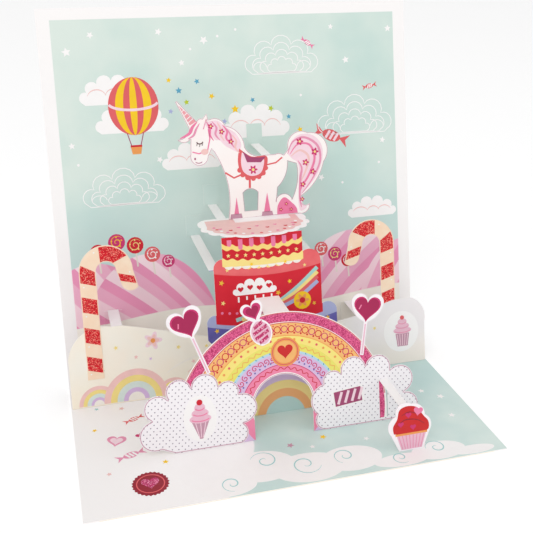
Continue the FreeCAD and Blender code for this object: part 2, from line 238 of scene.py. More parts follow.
def glitter_material(name, base, glint_colour):
    """Flat glitter: tiny flecks that face many ways; the colour paints glints on some flecks and shade on others."""
    paint = Paint(name, roughness=0.35, bump=0.0)
    cells = paint.node("ShaderNodeTexVoronoi")
    paint.feed(cells.inputs["Vector"], paint.place)
    cells.inputs["Scale"].default_value = 3.6
    shine = paint.node("ShaderNodeSeparateColor")
    paint.feed(shine.inputs[0], cells.outputs["Color"])
    # Painted glints: some flecks take a pale colour as if they caught the light.
    fleck_glint = paint.step(shine.outputs[0], 0.80, 0.06)
    # Painted shade: other flecks are darkened as if turned away from the light.
    dark = paint.step(shine.outputs[1], 0.45, 0.3)
    deep = tuple(c * 0.7 for c in colour(*base)[:3]) + (1.0,)
    ground = paint.mix(dark, deep, colour(*base))
    paint.feed(paint.bumps.inputs["Height"], shine.outputs[2])
    paint.bumps.inputs["Strength"].default_value = 0.7
    paint.shader.inputs["Metallic"].default_value = 0.25
    return paint.colour_is(paint.mix(fleck_glint, ground, colour(*glint_colour)))


def foil_material(name, base):
    paint = Paint(name, roughness=0.3, bump=0.05)
    paint.shader.inputs["Metallic"].default_value = 0.3
    paint.shader.inputs["Coat Weight"].default_value = 0.4
    return paint.colour_is(mottled(paint, colour(*base), 0.05, 1.2))


MATERIALS = {}


def ink(name):
    """The material of a printed colour, made once."""
    if name not in MATERIALS:
        if name == "red_glitter":
            MATERIALS[name] = glitter_material(name, (232, 20, 40), (255, 160, 140))
        elif name == "magenta_glitter":
            MATERIALS[name] = glitter_material(name, (208, 50, 112), (250, 170, 200))
        elif name == "heart_foil":
            MATERIALS[name] = foil_material(name, INKS["heart"])
        elif name == "scarlet_foil":
            MATERIALS[name] = foil_material(name, INKS["scarlet"])
        else:
            MATERIALS[name] = ink_material(name)
    return MATERIALS[name]


# Outlines, as lists of (u, v) in millimetres

def arc(cu, cv, ru, rv, start, end, steps=14):
    """Points along an oval arc, angles in degrees."""
    turns = [math.radians(start + (end - start) * k / steps) for k in range(steps + 1)]
    return [(cu + ru * math.cos(a), cv + rv * math.sin(a)) for a in turns]


def oval(cu, cv, ru, rv=None, steps=32):
    return arc(cu, cv, ru, rv or ru, 0, 360, steps)[:-1]


def star(cu, cv, radius, points=5, inner=0.46, turn=90.0):
    shape = []
    for k in range(points * 2):
        reach = radius if k % 2 == 0 else radius * inner
        a = math.radians(turn + 180.0 * k / points)
        shape.append((cu + reach * math.cos(a), cv + reach * math.sin(a)))
    return shape


def heart(cu, cv, width, turn=0.0, steps=36):
    """A heart about its middle, from a well-known closed curve."""
    shape = []
    for k in range(steps):
        t = 2 * math.pi * k / steps
        u = 16 * math.sin(t) ** 3
        v = 13 * math.cos(t) - 5 * math.cos(2 * t) - 2 * math.cos(3 * t) - math.cos(4 * t)
        shape.append((u / 32 * width, (v + 2.5) / 32 * width))
    return turned(shape, cu, cv, turn)


def flower(cu, cv, radius, petals=5, steps=40, depth=0.24):
    """A round shape with petals round it; a small depth gives a scalloped seal."""
    shape = []
    for k in range(steps):
        a = 2 * math.pi * k / steps
        reach = radius * (1 - depth + depth * math.cos(petals * a))
        shape.append((cu + reach * math.cos(a), cv + reach * math.sin(a)))
    return shape


def puff(cu, cv, width, height, bumps=6):
    """A puffy cloud with a flat foot: round lobes on a half oval."""
    shape = []
    for k in range(bumps):
        a0, a1 = math.pi * k / bumps, math.pi * (k + 1) / bumps
        p0 = (cu + width / 2 * math.cos(a0), cv + height * 0.82 * math.sin(a0))
        p1 = (cu + width / 2 * math.cos(a1), cv + height * 0.82 * math.sin(a1))
        shape += lobe(p0, p1, 0.46)
    return shape + [(cu - width * 0.46, cv - height * 0.08), (cu + width * 0.46, cv - height * 0.08)]


def lobe(start, end, bulge, steps=7):
    """Points of a round bump between two places, on the right of the way there."""
    mu, mv = (start[0] + end[0]) / 2, (start[1] + end[1]) / 2
    du, dv = end[0] - start[0], end[1] - start[1]
    points = []
    for k in range(steps):
        a = math.pi * k / steps
        along, out = -math.cos(a) / 2, math.sin(a) * bulge
        points.append((mu + du * along + dv * out, mv + dv * along - du * out))
    return points


def turned(shape, cu, cv, degrees):
    cos, sin = math.cos(math.radians(degrees)), math.sin(math.radians(degrees))
    return [(cu + u * cos - v * sin, cv + u * sin + v * cos) for u, v in shape]


def grown(shape, scale):
    """A shape made larger or smaller about its own middle."""
    mu = sum(u for u, v in shape) / len(shape)
    mv = sum(v for u, v in shape) / len(shape)
    return [(mu + (u - mu) * scale, mv + (v - mv) * scale) for u, v in shape]


def curl(cu, cv, radius, turns=1.4, start=0.0, steps=34):
    """A line that winds in to a middle."""
    points = []
    for k in range(steps + 1):
        share = k / steps
        a = math.radians(start) + 2 * math.pi * turns * share
        reach = radius * (1 - 0.86 * share)
        points.append((cu + reach * math.cos(a), cv + reach * math.sin(a)))
    return points


class Print:
    """Flat inked shapes on one face, each a thin film that lies on the sheet."""

    def __init__(self, name, face):
        self.name, self.face = name, face
        self.mesh = bmesh.new()
        self.inks = []

    def number(self, name):
        if name not in self.inks:
            self.inks.append(name)
        return self.inks.index(name)

    def fill(self, shape, name, level=1):
        """A closed outline filled with one colour."""
        area = sum(a[0] * b[1] - b[0] * a[1] for a, b in zip(shape, shape[1:] + shape[:1]))
        if area < 0:
            shape = shape[::-1]
        low = [self.mesh.verts.new(self.face(u, v, 0.0)) for u, v in shape]
        top = [self.mesh.verts.new(self.face(u, v, INK * level)) for u, v in shape]
        faces = [self.mesh.faces.new(top), self.mesh.faces.new(low[::-1])]
        for k in range(len(shape)):
            n = (k + 1) % len(shape)
            faces.append(self.mesh.faces.new((low[k], low[n], top[n], top[k])))
        for face in faces:
            face.material_index = self.number(name)

    def line(self, points, width, name, level=1, closed=False, taper=False):
        """A stroke of one width, or one that thins out at both ends."""
        count = len(points)
        left, right = [], []
        for k, (u, v) in enumerate(points):
            a = points[(k - 1) % count] if closed or k else points[k]
            b = points[(k + 1) % count] if closed or k < count - 1 else points[k]
            du, dv = b[0] - a[0], b[1] - a[1]
            length = math.hypot(du, dv) or 1.0
            half = width / 2
            if taper:
                half *= 0.25 + 0.75 * math.sin(math.pi * k / (count - 1))
            left.append((u - dv / length * half, v + du / length * half))
            right.append((u + dv / length * half, v - du / length * half))
        pairs = list(zip(left, right))
        if closed:
            pairs.append(pairs[0])
        rings = []
        for l, r in (pairs[:-1] if closed else pairs):
            rings.append([self.mesh.verts.new(self.face(*p, lift)) for p, lift in
                          ((l, 0.0), (r, 0.0), (r, INK * level), (l, INK * level))])
        faces = []
        spans = len(rings) if closed else len(rings) - 1
        for k in range(spans):
            a, b = rings[k], rings[(k + 1) % len(rings)]
            for i in range(4):
                j = (i + 1) % 4
                faces.append(self.mesh.faces.new((a[i], a[j], b[j], b[i])))
        if not closed:
            faces.append(self.mesh.faces.new(rings[0][::-1]))
            faces.append(self.mesh.faces.new(rings[-1]))
        for face in faces:
            face.material_index = self.number(name)

    def ring(self, cu, cv, radius, width, name, level=1):
        self.line(oval(cu, cv, radius, radius, 28), width, name, level, closed=True)

    def dot(self, cu, cv, radius, name, level=1):
        self.fill(oval(cu, cv, radius, radius, 16), name, level)

    def done(self):
        bmesh.ops.recalc_face_normals(self.mesh, faces=self.mesh.faces)
        data = bpy.data.meshes.new(self.name)
        self.mesh.to_mesh(data)
        self.mesh.free()
        for name in self.inks:
            data.materials.append(ink(name))
        piece = bpy.data.objects.new(self.name, data)
        bpy.context.scene.collection.objects.link(piece)
        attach(piece, "root")
        return piece


# Materials of the sheets themselves

def page_colours(paint):
    """The leaning page's print: a watercolour sky, striped hills and snow."""
    u, v = paint.x, paint.slant()
    sky = paint.mix(paint.step(paint.noise(0.30, 3.0), 0.5, 0.25),
                    colour(196, 220, 213), colour(220, 232, 224))
    low_sky = paint.step(paint.math("MULTIPLY_ADD", paint.noise(0.5), -26.0, v), 60.0, 30.0)
    page = paint.mix(low_sky, colour(196, 219, 215), sky)
    for cu, cv, ru, rv, lean, first in HILLS:
        page = candy_hill(paint, page, u, v, (cu, cv, ru, rv), lean, first)
    wave = paint.math("MULTIPLY", paint.math("SINE", paint.math("MULTIPLY", u, 0.062)), 2.0)
    page = paint.mix(paint.step(paint.math("ADD", v, wave), 28.5, 0.15), colour(*INKS["cream"]), page)
    sides = paint.step(paint.math("ABSOLUTE", u), 74.6, 0.1)
    border = paint.math("MAXIMUM", sides, paint.step(v, 154.8, 0.1))
    return paint.mix(border, page, colour(*INKS["white"]))


def card_material():
    """White card, printed on its two inner faces."""
    paint = Paint("card_print", roughness=0.45)
    leaning_face = paint.step(paint.normal_part(FACING), 0.9, 0.05)
    level_face = paint.step(paint.normal_part((0, 0, 1)), 0.99, 0.005)
    finish = paint.mix(leaning_face, colour(*INKS["white"]), page_colours(paint))
    return paint.colour_is(paint.mix(level_face, finish, base_ground(paint, paint.x)))


HILLS = (
    # middle u, middle v, half width, half height, slant of the stripes, colour order
    (52.0, 22.0, 30.0, 36.0, -0.9, 0.0),
    (-66.0, 20.0, 26.0, 34.0, 0.5, 1.0),
    (-42.0, 16.0, 30.0, 40.0, 0.9, 0.5),
    (78.0, 18.0, 24.0, 34.0, -0.5, 0.5),
)


def candy_hill(paint, below, u, v, shape, lean, first):
    """A round hill with broad curved stripes of three pinks."""
    out = paint.oval(u, v, *shape)
    mask = paint.flip(paint.step(out, 1.0, 0.006))
    across = paint.math("MULTIPLY_ADD", v, lean, u)
    curved = paint.math("MULTIPLY_ADD", out, 9.0 * (1 if lean > 0 else -1), across)
    band = paint.math("FRACT", paint.math("MULTIPLY_ADD", curved, 1 / 19.0, first + 40.0))
    stripes = paint.mix(paint.step(band, 0.36, 0.012), colour(250, 228, 234), colour(240, 182, 206))
    stripes = paint.mix(paint.step(band, 0.70, 0.012), stripes, colour(236, 152, 188))
    shade = paint.mix(paint.step(v, 42.0, 22.0), colour(236, 140, 178), stripes)
    return paint.mix(mask, below, paint.mix(0.65, shade, stripes))


def base_ground(paint, u):
    """The lower page: snow at the left that runs into a watery sky."""
    v = paint.math("SUBTRACT", FOLD_Y, paint.y)
    water = paint.mix(paint.step(paint.noise(0.35, 3.0), 0.52, 0.22),
                      colour(200, 223, 219), colour(222, 236, 230))
    near_fold = paint.step(v, 46.0, 26.0)
    water = paint.mix(near_fold, paint.mix(0.5, water, colour(180, 212, 211)), water)
    drift = paint.math("MULTIPLY_ADD", paint.math("SINE", paint.math("MULTIPLY", v, 0.085)), 9.0, u)
    return paint.mix(paint.step(drift, -22.0, 0.4), colour(*INKS["white"]), water)


def sheet_material(name, base, strength=0.05):
    paint = Paint(name)
    return paint.colour_is(mottled(paint, colour(*base), strength))


def faced(paint, printed):
    """Print on the front face; edges, folds and back are white, page flaps match the page."""
    front = paint.step(paint.normal_part(FACING), 0.9, 0.05)
    finish = paint.mix(front, colour(*INKS["white"]), printed)
    return paint.mix(paint.both(front, glued_on_page(paint)), finish, page_colours(paint))


def glued_on_page(paint):
    """1 where a face lies on the leaning page, 0 on the sheets that stand before it."""
    ahead = paint.math("MULTIPLY", paint.math("SUBTRACT", FOLD_Y, paint.y), math.cos(LEAN))
    above = paint.math("MULTIPLY_ADD", paint.z, math.sin(LEAN), ahead)
    return paint.flip(paint.step(above, STOCK * math.sin(LEAN) + 0.9, 0.3))


def hill_material():
    paint = Paint("hill_paper")
    v = paint.sheet_height(HILL)
    warm = paint.mix(paint.step(paint.noise(0.5, 3.0), 0.5, 0.3),
                     colour(250, 240, 224), colour(246, 243, 232))
    cool = paint.mix(paint.noise(0.8), colour(236, 232, 234), colour(246, 240, 240))
    printed = paint.mix(paint.step(paint.x, 40.0, 8.0), warm, cool)
    glow = paint.flip(paint.step(v, 10.0, 9.0))
    printed = paint.mix(paint.both(glow, 0.35), printed, colour(250, 234, 205))
    return paint.colour_is(faced(paint, printed))


def cane_material():
    """Peach candy; its bands of glitter are films of their own."""
    paint = Paint("cane_paper")
    across = paint.noise(2.0)
    printed = paint.mix(across, colour(246, 208, 176), colour(252, 234, 210))
    return paint.colour_is(faced(paint, printed))


def cake_material():
    paint = Paint("cake_paper")
    printed = paint.mix(paint.noise(0.9, 3.0), colour(160, 202, 202), colour(196, 222, 218))
    sheet = (paint.x, paint.sheet_height(CAKE))
    printed = board_colours(paint, printed, *sheet)
    printed = tier_colours(paint, printed, *sheet)
    return paint.colour_is(faced(paint, printed))


def sag(paint, u, v, middle, half, deep):
    """A height, less a curve that sags at the middle: level lines turn into round edges."""
    off = paint.math("DIVIDE", paint.math("SUBTRACT", u, middle), half)
    return paint.math("SUBTRACT", v, paint.math("MULTIPLY", paint.math("POWER", off, 2.0), deep))


def board_colours(paint, below, u, v):
    """Pastel arcs at the cake's foot, and the round board with its darker rim."""
    out = paint.oval(u, v, 5.0, -2.0, 1.0, 1.0)
    for edge, shade in ((22.5, (244, 200, 120)), (19.0, (214, 190, 224)), (15.5, (250, 226, 150)),
                        (12.0, (244, 178, 120)), (8.5, (190, 218, 214))):
        below = paint.mix(paint.flip(paint.step(out, edge, 0.15)), below, colour(*shade))
    board = paint.step(v, 31.0, 0.1)
    rim = paint.mix(paint.noise(2.0), colour(82, 78, 158), colour(112, 108, 182))
    top = paint.mix(paint.noise(1.2), colour(160, 168, 212), colour(182, 190, 226))
    edge = paint.step(sag(paint, u, v, 1.9, 27.2, 3.6), 36.0, 0.12)
    return paint.mix(board, below, paint.mix(edge, rim, top))


def tier_colours(paint, below, u, v):
    """The red tier under its coral icing, and the banded small tier on it."""
    low = sag(paint, u, v, 0.7, 22.0, 2.4)
    inside = paint.flip(paint.step(paint.math("ABSOLUTE", paint.math("SUBTRACT", u, 0.7)), 22.3, 0.1))
    red = paint.mix(paint.noise(1.4, 3.0), colour(204, 12, 38), colour(222, 32, 52))
    below = paint.mix(paint.both(inside, paint.step(low, 37.8, 0.12)), below, red)
    icing = paint.mix(paint.noise(2.4), colour(226, 84, 92), colour(240, 118, 118))
    below = paint.mix(paint.both(inside, paint.step(low, 58.2, 0.12)), below, icing)
    high = sag(paint, u, v, -1.1, 16.6, 1.4)
    wavy = paint.math("MULTIPLY_ADD", paint.math("SINE", paint.math("MULTIPLY", u, 1.5)), 0.4, high)
    inside = paint.flip(paint.step(paint.math("ABSOLUTE", paint.math("ADD", u, 1.1)), 16.7, 0.1))
    for edge, shade in ((61.4, (250, 226, 140)), (64.9, (206, 18, 36)), (68.6, (248, 218, 128)),
                        (70.6, (208, 22, 44))):
        here = paint.step(wavy, edge, 0.12)
        below = paint.mix(paint.both(inside, here), below, colour(*shade))
    return below


def plate_material():
    paint = Paint("frosting_paper")
    white = mottled(paint, colour(*INKS["white"]), 0.02)
    return paint.colour_is(faced(paint, white))


def unicorn_material():
    paint = Paint("unicorn_paper")
    printed = paint.mix(paint.noise(0.8), colour(252, 240, 236), colour(250, 248, 246))
    return paint.colour_is(faced(paint, printed))


RAINBOW_BANDS = (
    # share of the way from the inner to the outer edge, colour
    (0.0, (250, 246, 246)), (0.035, (238, 122, 168)), (0.17, (214, 184, 226)),
    (0.345, (176, 214, 232)), (0.385, (232, 224, 96)), (0.50, (246, 226, 120)),
    (0.62, (244, 184, 106)), (0.825, (250, 240, 240)), (0.84, (206, 48, 112)),
    (0.975, (250, 246, 246)),
)
OUTER = (6.8, 43.2)
INNER = (13.1, 12.0)


def rainbow_material():
    """Bands that run evenly from the inner arch to the outer one."""
    paint = Paint("rainbow_paper")
    v = paint.sheet_height(RAINBOW)
    from_inner = paint.math("SUBTRACT", paint.oval(paint.x, v, 0.0, INNER[0], 1.0, 1.0), INNER[1])
    to_outer = paint.math("SUBTRACT", OUTER[1], paint.oval(paint.x, v, 0.0, OUTER[0], 1.0, 1.0))
    share = paint.math("DIVIDE", from_inner, paint.math("ADD", from_inner, to_outer))
    wobble = paint.math("MULTIPLY_ADD", paint.noise(3.0), 0.008, share)
    ramp = paint.node("ShaderNodeValToRGB")
    ramp.color_ramp.interpolation = "CONSTANT"
    ramp.color_ramp.elements.remove(ramp.color_ramp.elements[1])
    for place, shade in RAINBOW_BANDS:
        part = ramp.color_ramp.elements.new(place) if place else ramp.color_ramp.elements[0]
        part.color = colour(*shade)
    paint.feed(ramp.inputs[0], wobble)
    soft = paint.mix(paint.both(paint.noise(1.6, 4.0), 0.16), ramp.outputs[0], colour(255, 240, 190))
    flecks = paint.node("ShaderNodeTexVoronoi")
    paint.feed(flecks.inputs["Vector"], paint.place)
    flecks.inputs["Scale"].default_value = 2.6
    fleck_glint = paint.node("ShaderNodeSeparateColor")
    paint.feed(fleck_glint.inputs[0], flecks.outputs["Color"])
    rim = paint.both(paint.step(share, 0.84, 0.004), paint.flip(paint.step(share, 0.975, 0.004)))
    # Painted glints and shade: each glitter fleck on the rim runs from deep magenta to pale pink as if each caught a
    # different amount of light.
    glitter = paint.mix(fleck_glint.outputs[0], colour(172, 28, 88), colour(240, 108, 158))
    return paint.colour_is(faced(paint, paint.mix(rim, soft, glitter)))


def cloud_material():
    """White card with rows of small raised grey dots and a thin pink rim."""
    paint = Paint("cloud_paper")
    v = paint.sheet_height(RAINBOW + LAYER)
    pitch = 1.75
    turn = math.radians(38)
    a = paint.math("MULTIPLY_ADD", v, math.sin(turn), paint.math("MULTIPLY", paint.x, math.cos(turn)))
    b = paint.math("MULTIPLY_ADD", v, math.cos(turn), paint.math("MULTIPLY", paint.x, -math.sin(turn)))
    cells = [paint.math("SUBTRACT", paint.math("FRACT", paint.math("MULTIPLY_ADD", c, 1 / pitch, 60.0)), 0.5)
             for c in (a, b)]
    reach = paint.oval(cells[0], cells[1], 0.0, 0.0, 1.0, 1.0)
    dots = paint.flip(paint.step(reach, 0.13, 0.05))
    paint.feed(paint.bumps.inputs["Height"], dots)
    paint.bumps.inputs["Strength"].default_value = 0.4
    printed = paint.mix(dots, colour(247, 243, 246), colour(128, 118, 134))
    return paint.colour_is(faced(paint, printed))


def white_material(name, tint):
    paint = Paint(name)
    return paint.colour_is(mottled(paint, colour(*tint), 0.02))


def dress(node, material):
    """Gives a CAD sheet its material."""
    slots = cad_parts[node].data.materials
    slots.clear()
    slots.append(material)


def dress_sheets():
    dress("card", card_material())
    dress("hill_step", hill_material())
    cane = cane_material()
    dress("left_cane", cane)
    dress("right_cane", cane)
    dress("cake", cake_material())
    dress("frosting_plate", plate_material())
    dress("unicorn", unicorn_material())
    dress("rainbow_arch", rainbow_material())
    rim = white_material("die_cut_white", (250, 244, 247))
    for node in ("left_heart", "right_heart", "wrapped_candy", "front_cupcake"):
        dress(node, rim)
    cloud = cloud_material()
    dress("left_cloud", cloud)
    dress("right_cloud", cloud)


dress_sheets()


# Outlines read from the sheets, so that print follows the cut edges

def front_loops(node, distance):
    """The closed outlines of a standing sheet's front face, as (u, v) lists."""
    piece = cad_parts[node]
    foot = Vector((0, FOLD_Y - distance - LAYER, STOCK))
    spots = []
    for vertex in piece.data.vertices:
        place = (piece.matrix_world @ vertex.co) / MM - foot
        spots.append((round(place.x, 3), round(place.dot(UP), 3), place.dot(FACING)))
    uses = {}
    for face in piece.data.polygons:
        ring = [spots[k] for k in face.vertices]
        if all(abs(spot[2]) < 0.02 for spot in ring):
            corners = [spot[:2] for spot in ring]
            for a, b in zip(corners, corners[1:] + corners[:1]):
                uses.setdefault(frozenset((a, b)), []).append((a, b))
    following = {a: b for pairs in uses.values() if len(pairs) == 1 for a, b in pairs}
    return chained(following)


def chained(following):
    """Closed loops from a table of which corner follows which, longest first."""
    loops = []
    while following:
        start = next(iter(following))
        loop, here = [start], following.pop(start)
        while here != start and here in following:
            loop.append(here)
            here = following.pop(here)
        loops.append(loop)
    return sorted(loops, key=len, reverse=True)


def inset(loop, gap):
    """A loop drawn in from its edge by a small even gap."""
    area = sum(a[0] * b[1] - b[0] * a[1] for a, b in zip(loop, loop[1:] + loop[:1]))
    side = 1 if area > 0 else -1
    moved = []
    for k, (u, v) in enumerate(loop):
        before, after = loop[k - 1], loop[(k + 1) % len(loop)]
        du, dv = after[0] - before[0], after[1] - before[1]
        length = math.hypot(du, dv) or 1.0
        moved.append((u - side * dv / length * gap, v + side * du / length * gap))
    return moved


def sampled(loop, spacing=0.9):
    """A loop's corners, with the very close ones left out."""
    kept = [loop[0]]
    for spot in loop[1:]:
        if math.dist(spot, kept[-1]) >= spacing * 0.35:
            kept.append(spot)
    return kept


def rim_line(sheet_print, node, distance, gap, width, name, loops=1):
    for loop in front_loops(node, distance)[:loops]:
        sheet_print.line(inset(sampled(loop), gap), width, name, 1, closed=True)


# The print, piece by piece

def puffy_cloud(ink_on, cu, cv, width, height):
    ink_on.fill(puff(cu, cv, width, height), "white", 1)
    for share, shift in ((0.34, -0.26), (0.28, 0.02), (0.3, 0.27)):
        bump = arc(cu + width * shift, cv + height * 0.16, width * share * 0.5, height * 0.34, 20, 160, 12)
        ink_on.line(bump, 0.45, "blush", 2, taper=True)


def contour_cloud(ink_on, cu, cv, width, height):
    """A cloud drawn in raised white lines, one inside the other."""
    for scale in (1.0, 0.8, 0.6, 0.4):
        ink_on.line(puff(cu, cv, width * scale, height * scale, 5), 0.32, "white", 2, closed=True)
    for shift in (-0.34, 0.34):
        ink_on.line(arc(cu + width * shift, cv + height * 0.12, width * 0.1, height * 0.16, 0, 180, 10),
                    0.3, "white", 2)


def lollipop(ink_on, u, v, radius, name, trim):
    """A round sweet on a stick that fades into the hill."""
    ink_on.line([(u, v), (u + 0.6, v - radius * 2.6)], 0.7, "stem", 1)
    ink_on.dot(u, v, radius, name, 2)
    ink_on.line(curl(u, v, radius * 0.8, 1.6, 40), 0.4, trim, 3, taper=True)
    for k in range(5):
        a = math.radians(72 * k + 20)
        ink_on.dot(u + radius * 0.62 * math.cos(a), v + radius * 0.62 * math.sin(a), 0.34, trim, 4)


def wrapped_sweet(ink_on, u, v, length, tilt, name="coral", trim="pale_rose"):
    """A sweet in striped paper with a twist at each end."""
    half = length / 2
    body = oval(0, 0, half * 0.52, half * 0.30, 20)
    ink_on.fill(turned(body, u, v, tilt), name, 2)
    for side in (-1, 1):
        twist = [(side * half * 0.45, 0), (side * half, half * 0.34), (side * half * 0.82, 0),
                 (side * half, -half * 0.34)]
        ink_on.fill(turned(twist, u, v, tilt), name, 1)
    for shift in (-0.22, 0.02, 0.26):
        stripe = [(half * shift - 0.4, -half * 0.22), (half * shift + 0.5, half * 0.22)]
        ink_on.line(turned(stripe, u, v, tilt), half * 0.13, trim, 3)


def balloon(ink_on, u, v):
    """A plain hot-air balloon with coral and yellow gores."""
    ink_on.fill(puff(u - 1, v - 10, 28, 11), "white", 1)
    tall, wide = 12.0, 10.5
    ink_on.fill(oval(u, v, wide, tall, 36), "coral", 3)
    for share, name in ((0.72, "yellow"), (0.40, "coral"), (0.14, "yellow")):
        ink_on.fill(oval(u, v, wide * share, tall, 30), name, 3 + {0.72: 1, 0.40: 2, 0.14: 3}[share])
    ink_on.line(arc(u, v + 1.5, wide * 0.97, 3.0, 188, 352, 18), 1.1, "pale_rose", 7)
    for side in (-1, 1):
        ink_on.line([(u + side * 3.4, v - tall * 0.93), (u + side * 1.8, v - tall - 5)], 0.35, "plum", 3)
    basket = [(u - 2.4, v - tall - 4.6), (u + 2.4, v - tall - 4.6), (u + 1.8, v - tall - 8),
              (u - 1.8, v - tall - 8)]
    ink_on.fill(basket, "orange", 4)
    ink_on.line([basket[0], basket[1]], 0.8, "red", 5)


def page_print():
    """Sky, stars, sweets and lollipops on the leaning page."""
    ink_on = Print("page_print", PAGE)
    puffy_cloud(ink_on, -52, 121, 24, 11)
    puffy_cloud(ink_on, 9, 104, 27, 13)
    puffy_cloud(ink_on, -20, 92, 24, 10)
    puffy_cloud(ink_on, 62, 64, 22, 8)
    balloon(ink_on, -43.5, 119)
    contour_cloud(ink_on, -50, 79, 31, 13)
    contour_cloud(ink_on, 22, 131, 29, 14)
    contour_cloud(ink_on, 55, 103, 31, 15)
    for u, v, radius, name in PAGE_STARS:
        ink_on.fill(star(u, v, radius, turn=90 + u * 3), name, 2)
    for u, v, radius, name, trim in LOLLIPOPS:
        lollipop(ink_on, u, v, radius, name, trim)
    wrapped_sweet(ink_on, 43.5, 101.5, 17, -22)
    wrapped_sweet(ink_on, 62.5, 122.5, 7, 12, "coral", "white")
    wrapped_sweet(ink_on, 34, 142.5, 7, -35, "pink", "white")
    for u, v in ((-18, 141.5), (-6, 146.5), (2, 149), (30, 120), (48, 80), (-68, 96), (66, 88)):
        ink_on.dot(u, v, 0.55, "white", 2)
    return ink_on.done()


PAGE_STARS = (
    # u, v, radius, colour
    (-69, 142, 2.0, "white"), (-59, 148.5, 1.5, "white"), (-31, 149, 1.6, "white"),
    (-12, 145, 1.9, "white"), (-22, 136, 1.4, "white"), (51.5, 134.5, 1.7, "white"),
    (72, 147.5, 1.6, "white"), (45, 149, 1.3, "white"), (68, 98, 1.5, "white"),
    (-70, 104, 1.5, "white"), (-34, 96, 1.5, "white"), (38, 83, 1.6, "white"),
    (-16, 128, 1.3, "blue"), (-24, 124.5, 1.5, "blue"), (-21, 119.5, 1.3, "lime"),
    (-28, 129, 1.2, "yellow"), (-10, 121.5, 1.4, "yellow"), (0, 115.5, 1.9, "yellow"),
    (-5, 110.5, 1.3, "lilac"), (16, 115, 1.4, "lime"), (24, 111, 1.2, "blue"),
    (29, 105, 1.4, "yellow"), (-28, 116, 1.2, "lilac"), (8, 119, 1.2, "blue"),
)

LOLLIPOPS = (
    # u, v, radius, colour, trim
    (-63, 58.5, 3.5, "red", "pale_rose"), (-55, 62.2, 3.6, "magenta", "yellow"),
    (-47.3, 60.2, 3.6, "red", "butter"), (-40.2, 55.6, 3.4, "coral", "white"),
    (-33.5, 52.0, 2.8, "magenta", "pale_rose"), (36.5, 50.5, 3.2, "coral", "white"),
    (43.0, 47.5, 3.3, "magenta", "butter"), (49.0, 44.0, 3.0, "red", "pale_rose"),
)


def base_print():
    """Snowy clouds with curls, stars and small sweets on the lower page."""
    ink_on = Print("base_print", FLOOR_PAGE)
    for level, (u, v, ru, rv) in enumerate(SNOW, 1):
        ink_on.fill(oval(u, v, ru, rv, 40), "white", 1 + level * 0.04)
    for u, v, radius, start in ((-12, 69, 5.5, 200), (2, 75, 6.0, 20), (18, 74, 4.6, 120),
                                (38, 80.5, 3.6, 60), (54, 78, 4.4, 180), (-27, 79, 4.2, 90)):
        ink_on.line(curl(u, v, radius, 1.3, start), 0.5, "aqua", 2, taper=True)
    for u, v, radius, name in BASE_STARS:
        ink_on.fill(star(u, v, radius, turn=90 + u * 5), name, 2)
    wrapped_sweet(ink_on, -60, 52.5, 12, -18, "rose", "white")
    wrapped_sweet(ink_on, -56, 29.0, 9, -24, "coral", "white")
    ink_on.fill(heart(-64.5, 42.5, 7.6, -165), "rose", 2)
    ink_on.fill(heart(-64.5, 42.5, 5.0, -165), "pale_rose", 3)
    ink_on.fill(heart(-55, 41, 3.4, 160), "magenta", 2)
    medallion(ink_on)
    return ink_on.done()


def medallion(ink_on):
    """A round scalloped seal with a raised heart."""
    u, v = -55.2, 71.2
    ink_on.fill(flower(u, v, 6.8, 26, 156, 0.035), "dark_red", 2)
    ink_on.ring(u, v, 5.0, 0.45, "coral", 3)
    ink_on.fill(heart(u, v, 6.6, 180), "magenta_glitter", 4)


SNOW = (
    # middle u, middle v, half width, half depth
    (-14, 72, 13, 9), (3, 77, 14, 8.4), (20, 76, 12, 7.4), (38, 82, 11, 3.6),
    (54, 80, 11, 5.4), (-29, 80, 11, 5.6), (67, 83, 9, 2.6), (-36, 70, 9, 8),
)

BASE_STARS = (
    # u, v, radius, colour
    (66, 40, 1.5, "white"), (72, 46, 1.8, "white"), (60, 52, 1.3, "white"), (70, 60, 1.6, "white"),
    (56, 30, 1.3, "white"), (64, 22, 1.5, "white"), (-72, 33, 1.1, "yellow"), (-50, 50, 1.2, "lime"),
    (-69, 62, 1.1, "blush"), (-48, 60, 1.3, "yellow"), (-52, 36, 1.0, "pink"), (-43, 28, 1.2, "lilac"),
    (-60, 20, 1.3, "blush"), (-70, 18, 1.0, "aqua"), (0, 62.5, 1.6, "mauve"), (14, 60.5, 1.5, "yellow"),
    (8, 65.5, 1.2, "white"), (30, 66, 1.3, "white"),
)


def hill_print():
    """Pastel rings, a blossom and a pale cake on the low hill."""
    ink_on = Print("hill_print", ON_HILL)
    shades = ("blush", "butter", "pale_sky", "pale_lilac")
    for cu, cv, reach, base in ((-53, 0.6, 13.5, 3), (-68.5, 0.6, 8.2, 1), (-37, 0.6, 7.4, 1.2)):
        for k, name in enumerate(shades):
            radius = reach * (1 - 0.2 * k)
            ink_on.fill(arc(cu, cv, radius, radius, 0, 180, 26), name, base + 0.5 * k)
        ink_on.fill(arc(cu, cv, reach * 0.26, reach * 0.26, 0, 180, 14), "cream", base + 2.5)
    ink_on.fill(flower(-44.5, 25.2, 4.0), "pale_rose", 1)
    ink_on.fill(flower(-44.5, 25.2, 2.8), "blush", 2)
    ink_on.dot(-44.5, 25.2, 1.0, "orange", 3)
    for u, v, radius, name in HILL_SPOTS:
        ink_on.fill(star(u, v, radius, turn=90 + u * 7), name, 1)
    for scale, name in ((1.0, "cream"), (0.78, "blush"), (0.5, "white")):
        ink_on.line(arc(0, 6, 42 * scale, 13 * scale, 20, 160, 26), 1.2, name, 2, taper=True)
    cake_stand(ink_on, 68.5, 14.0)
    return ink_on.done()


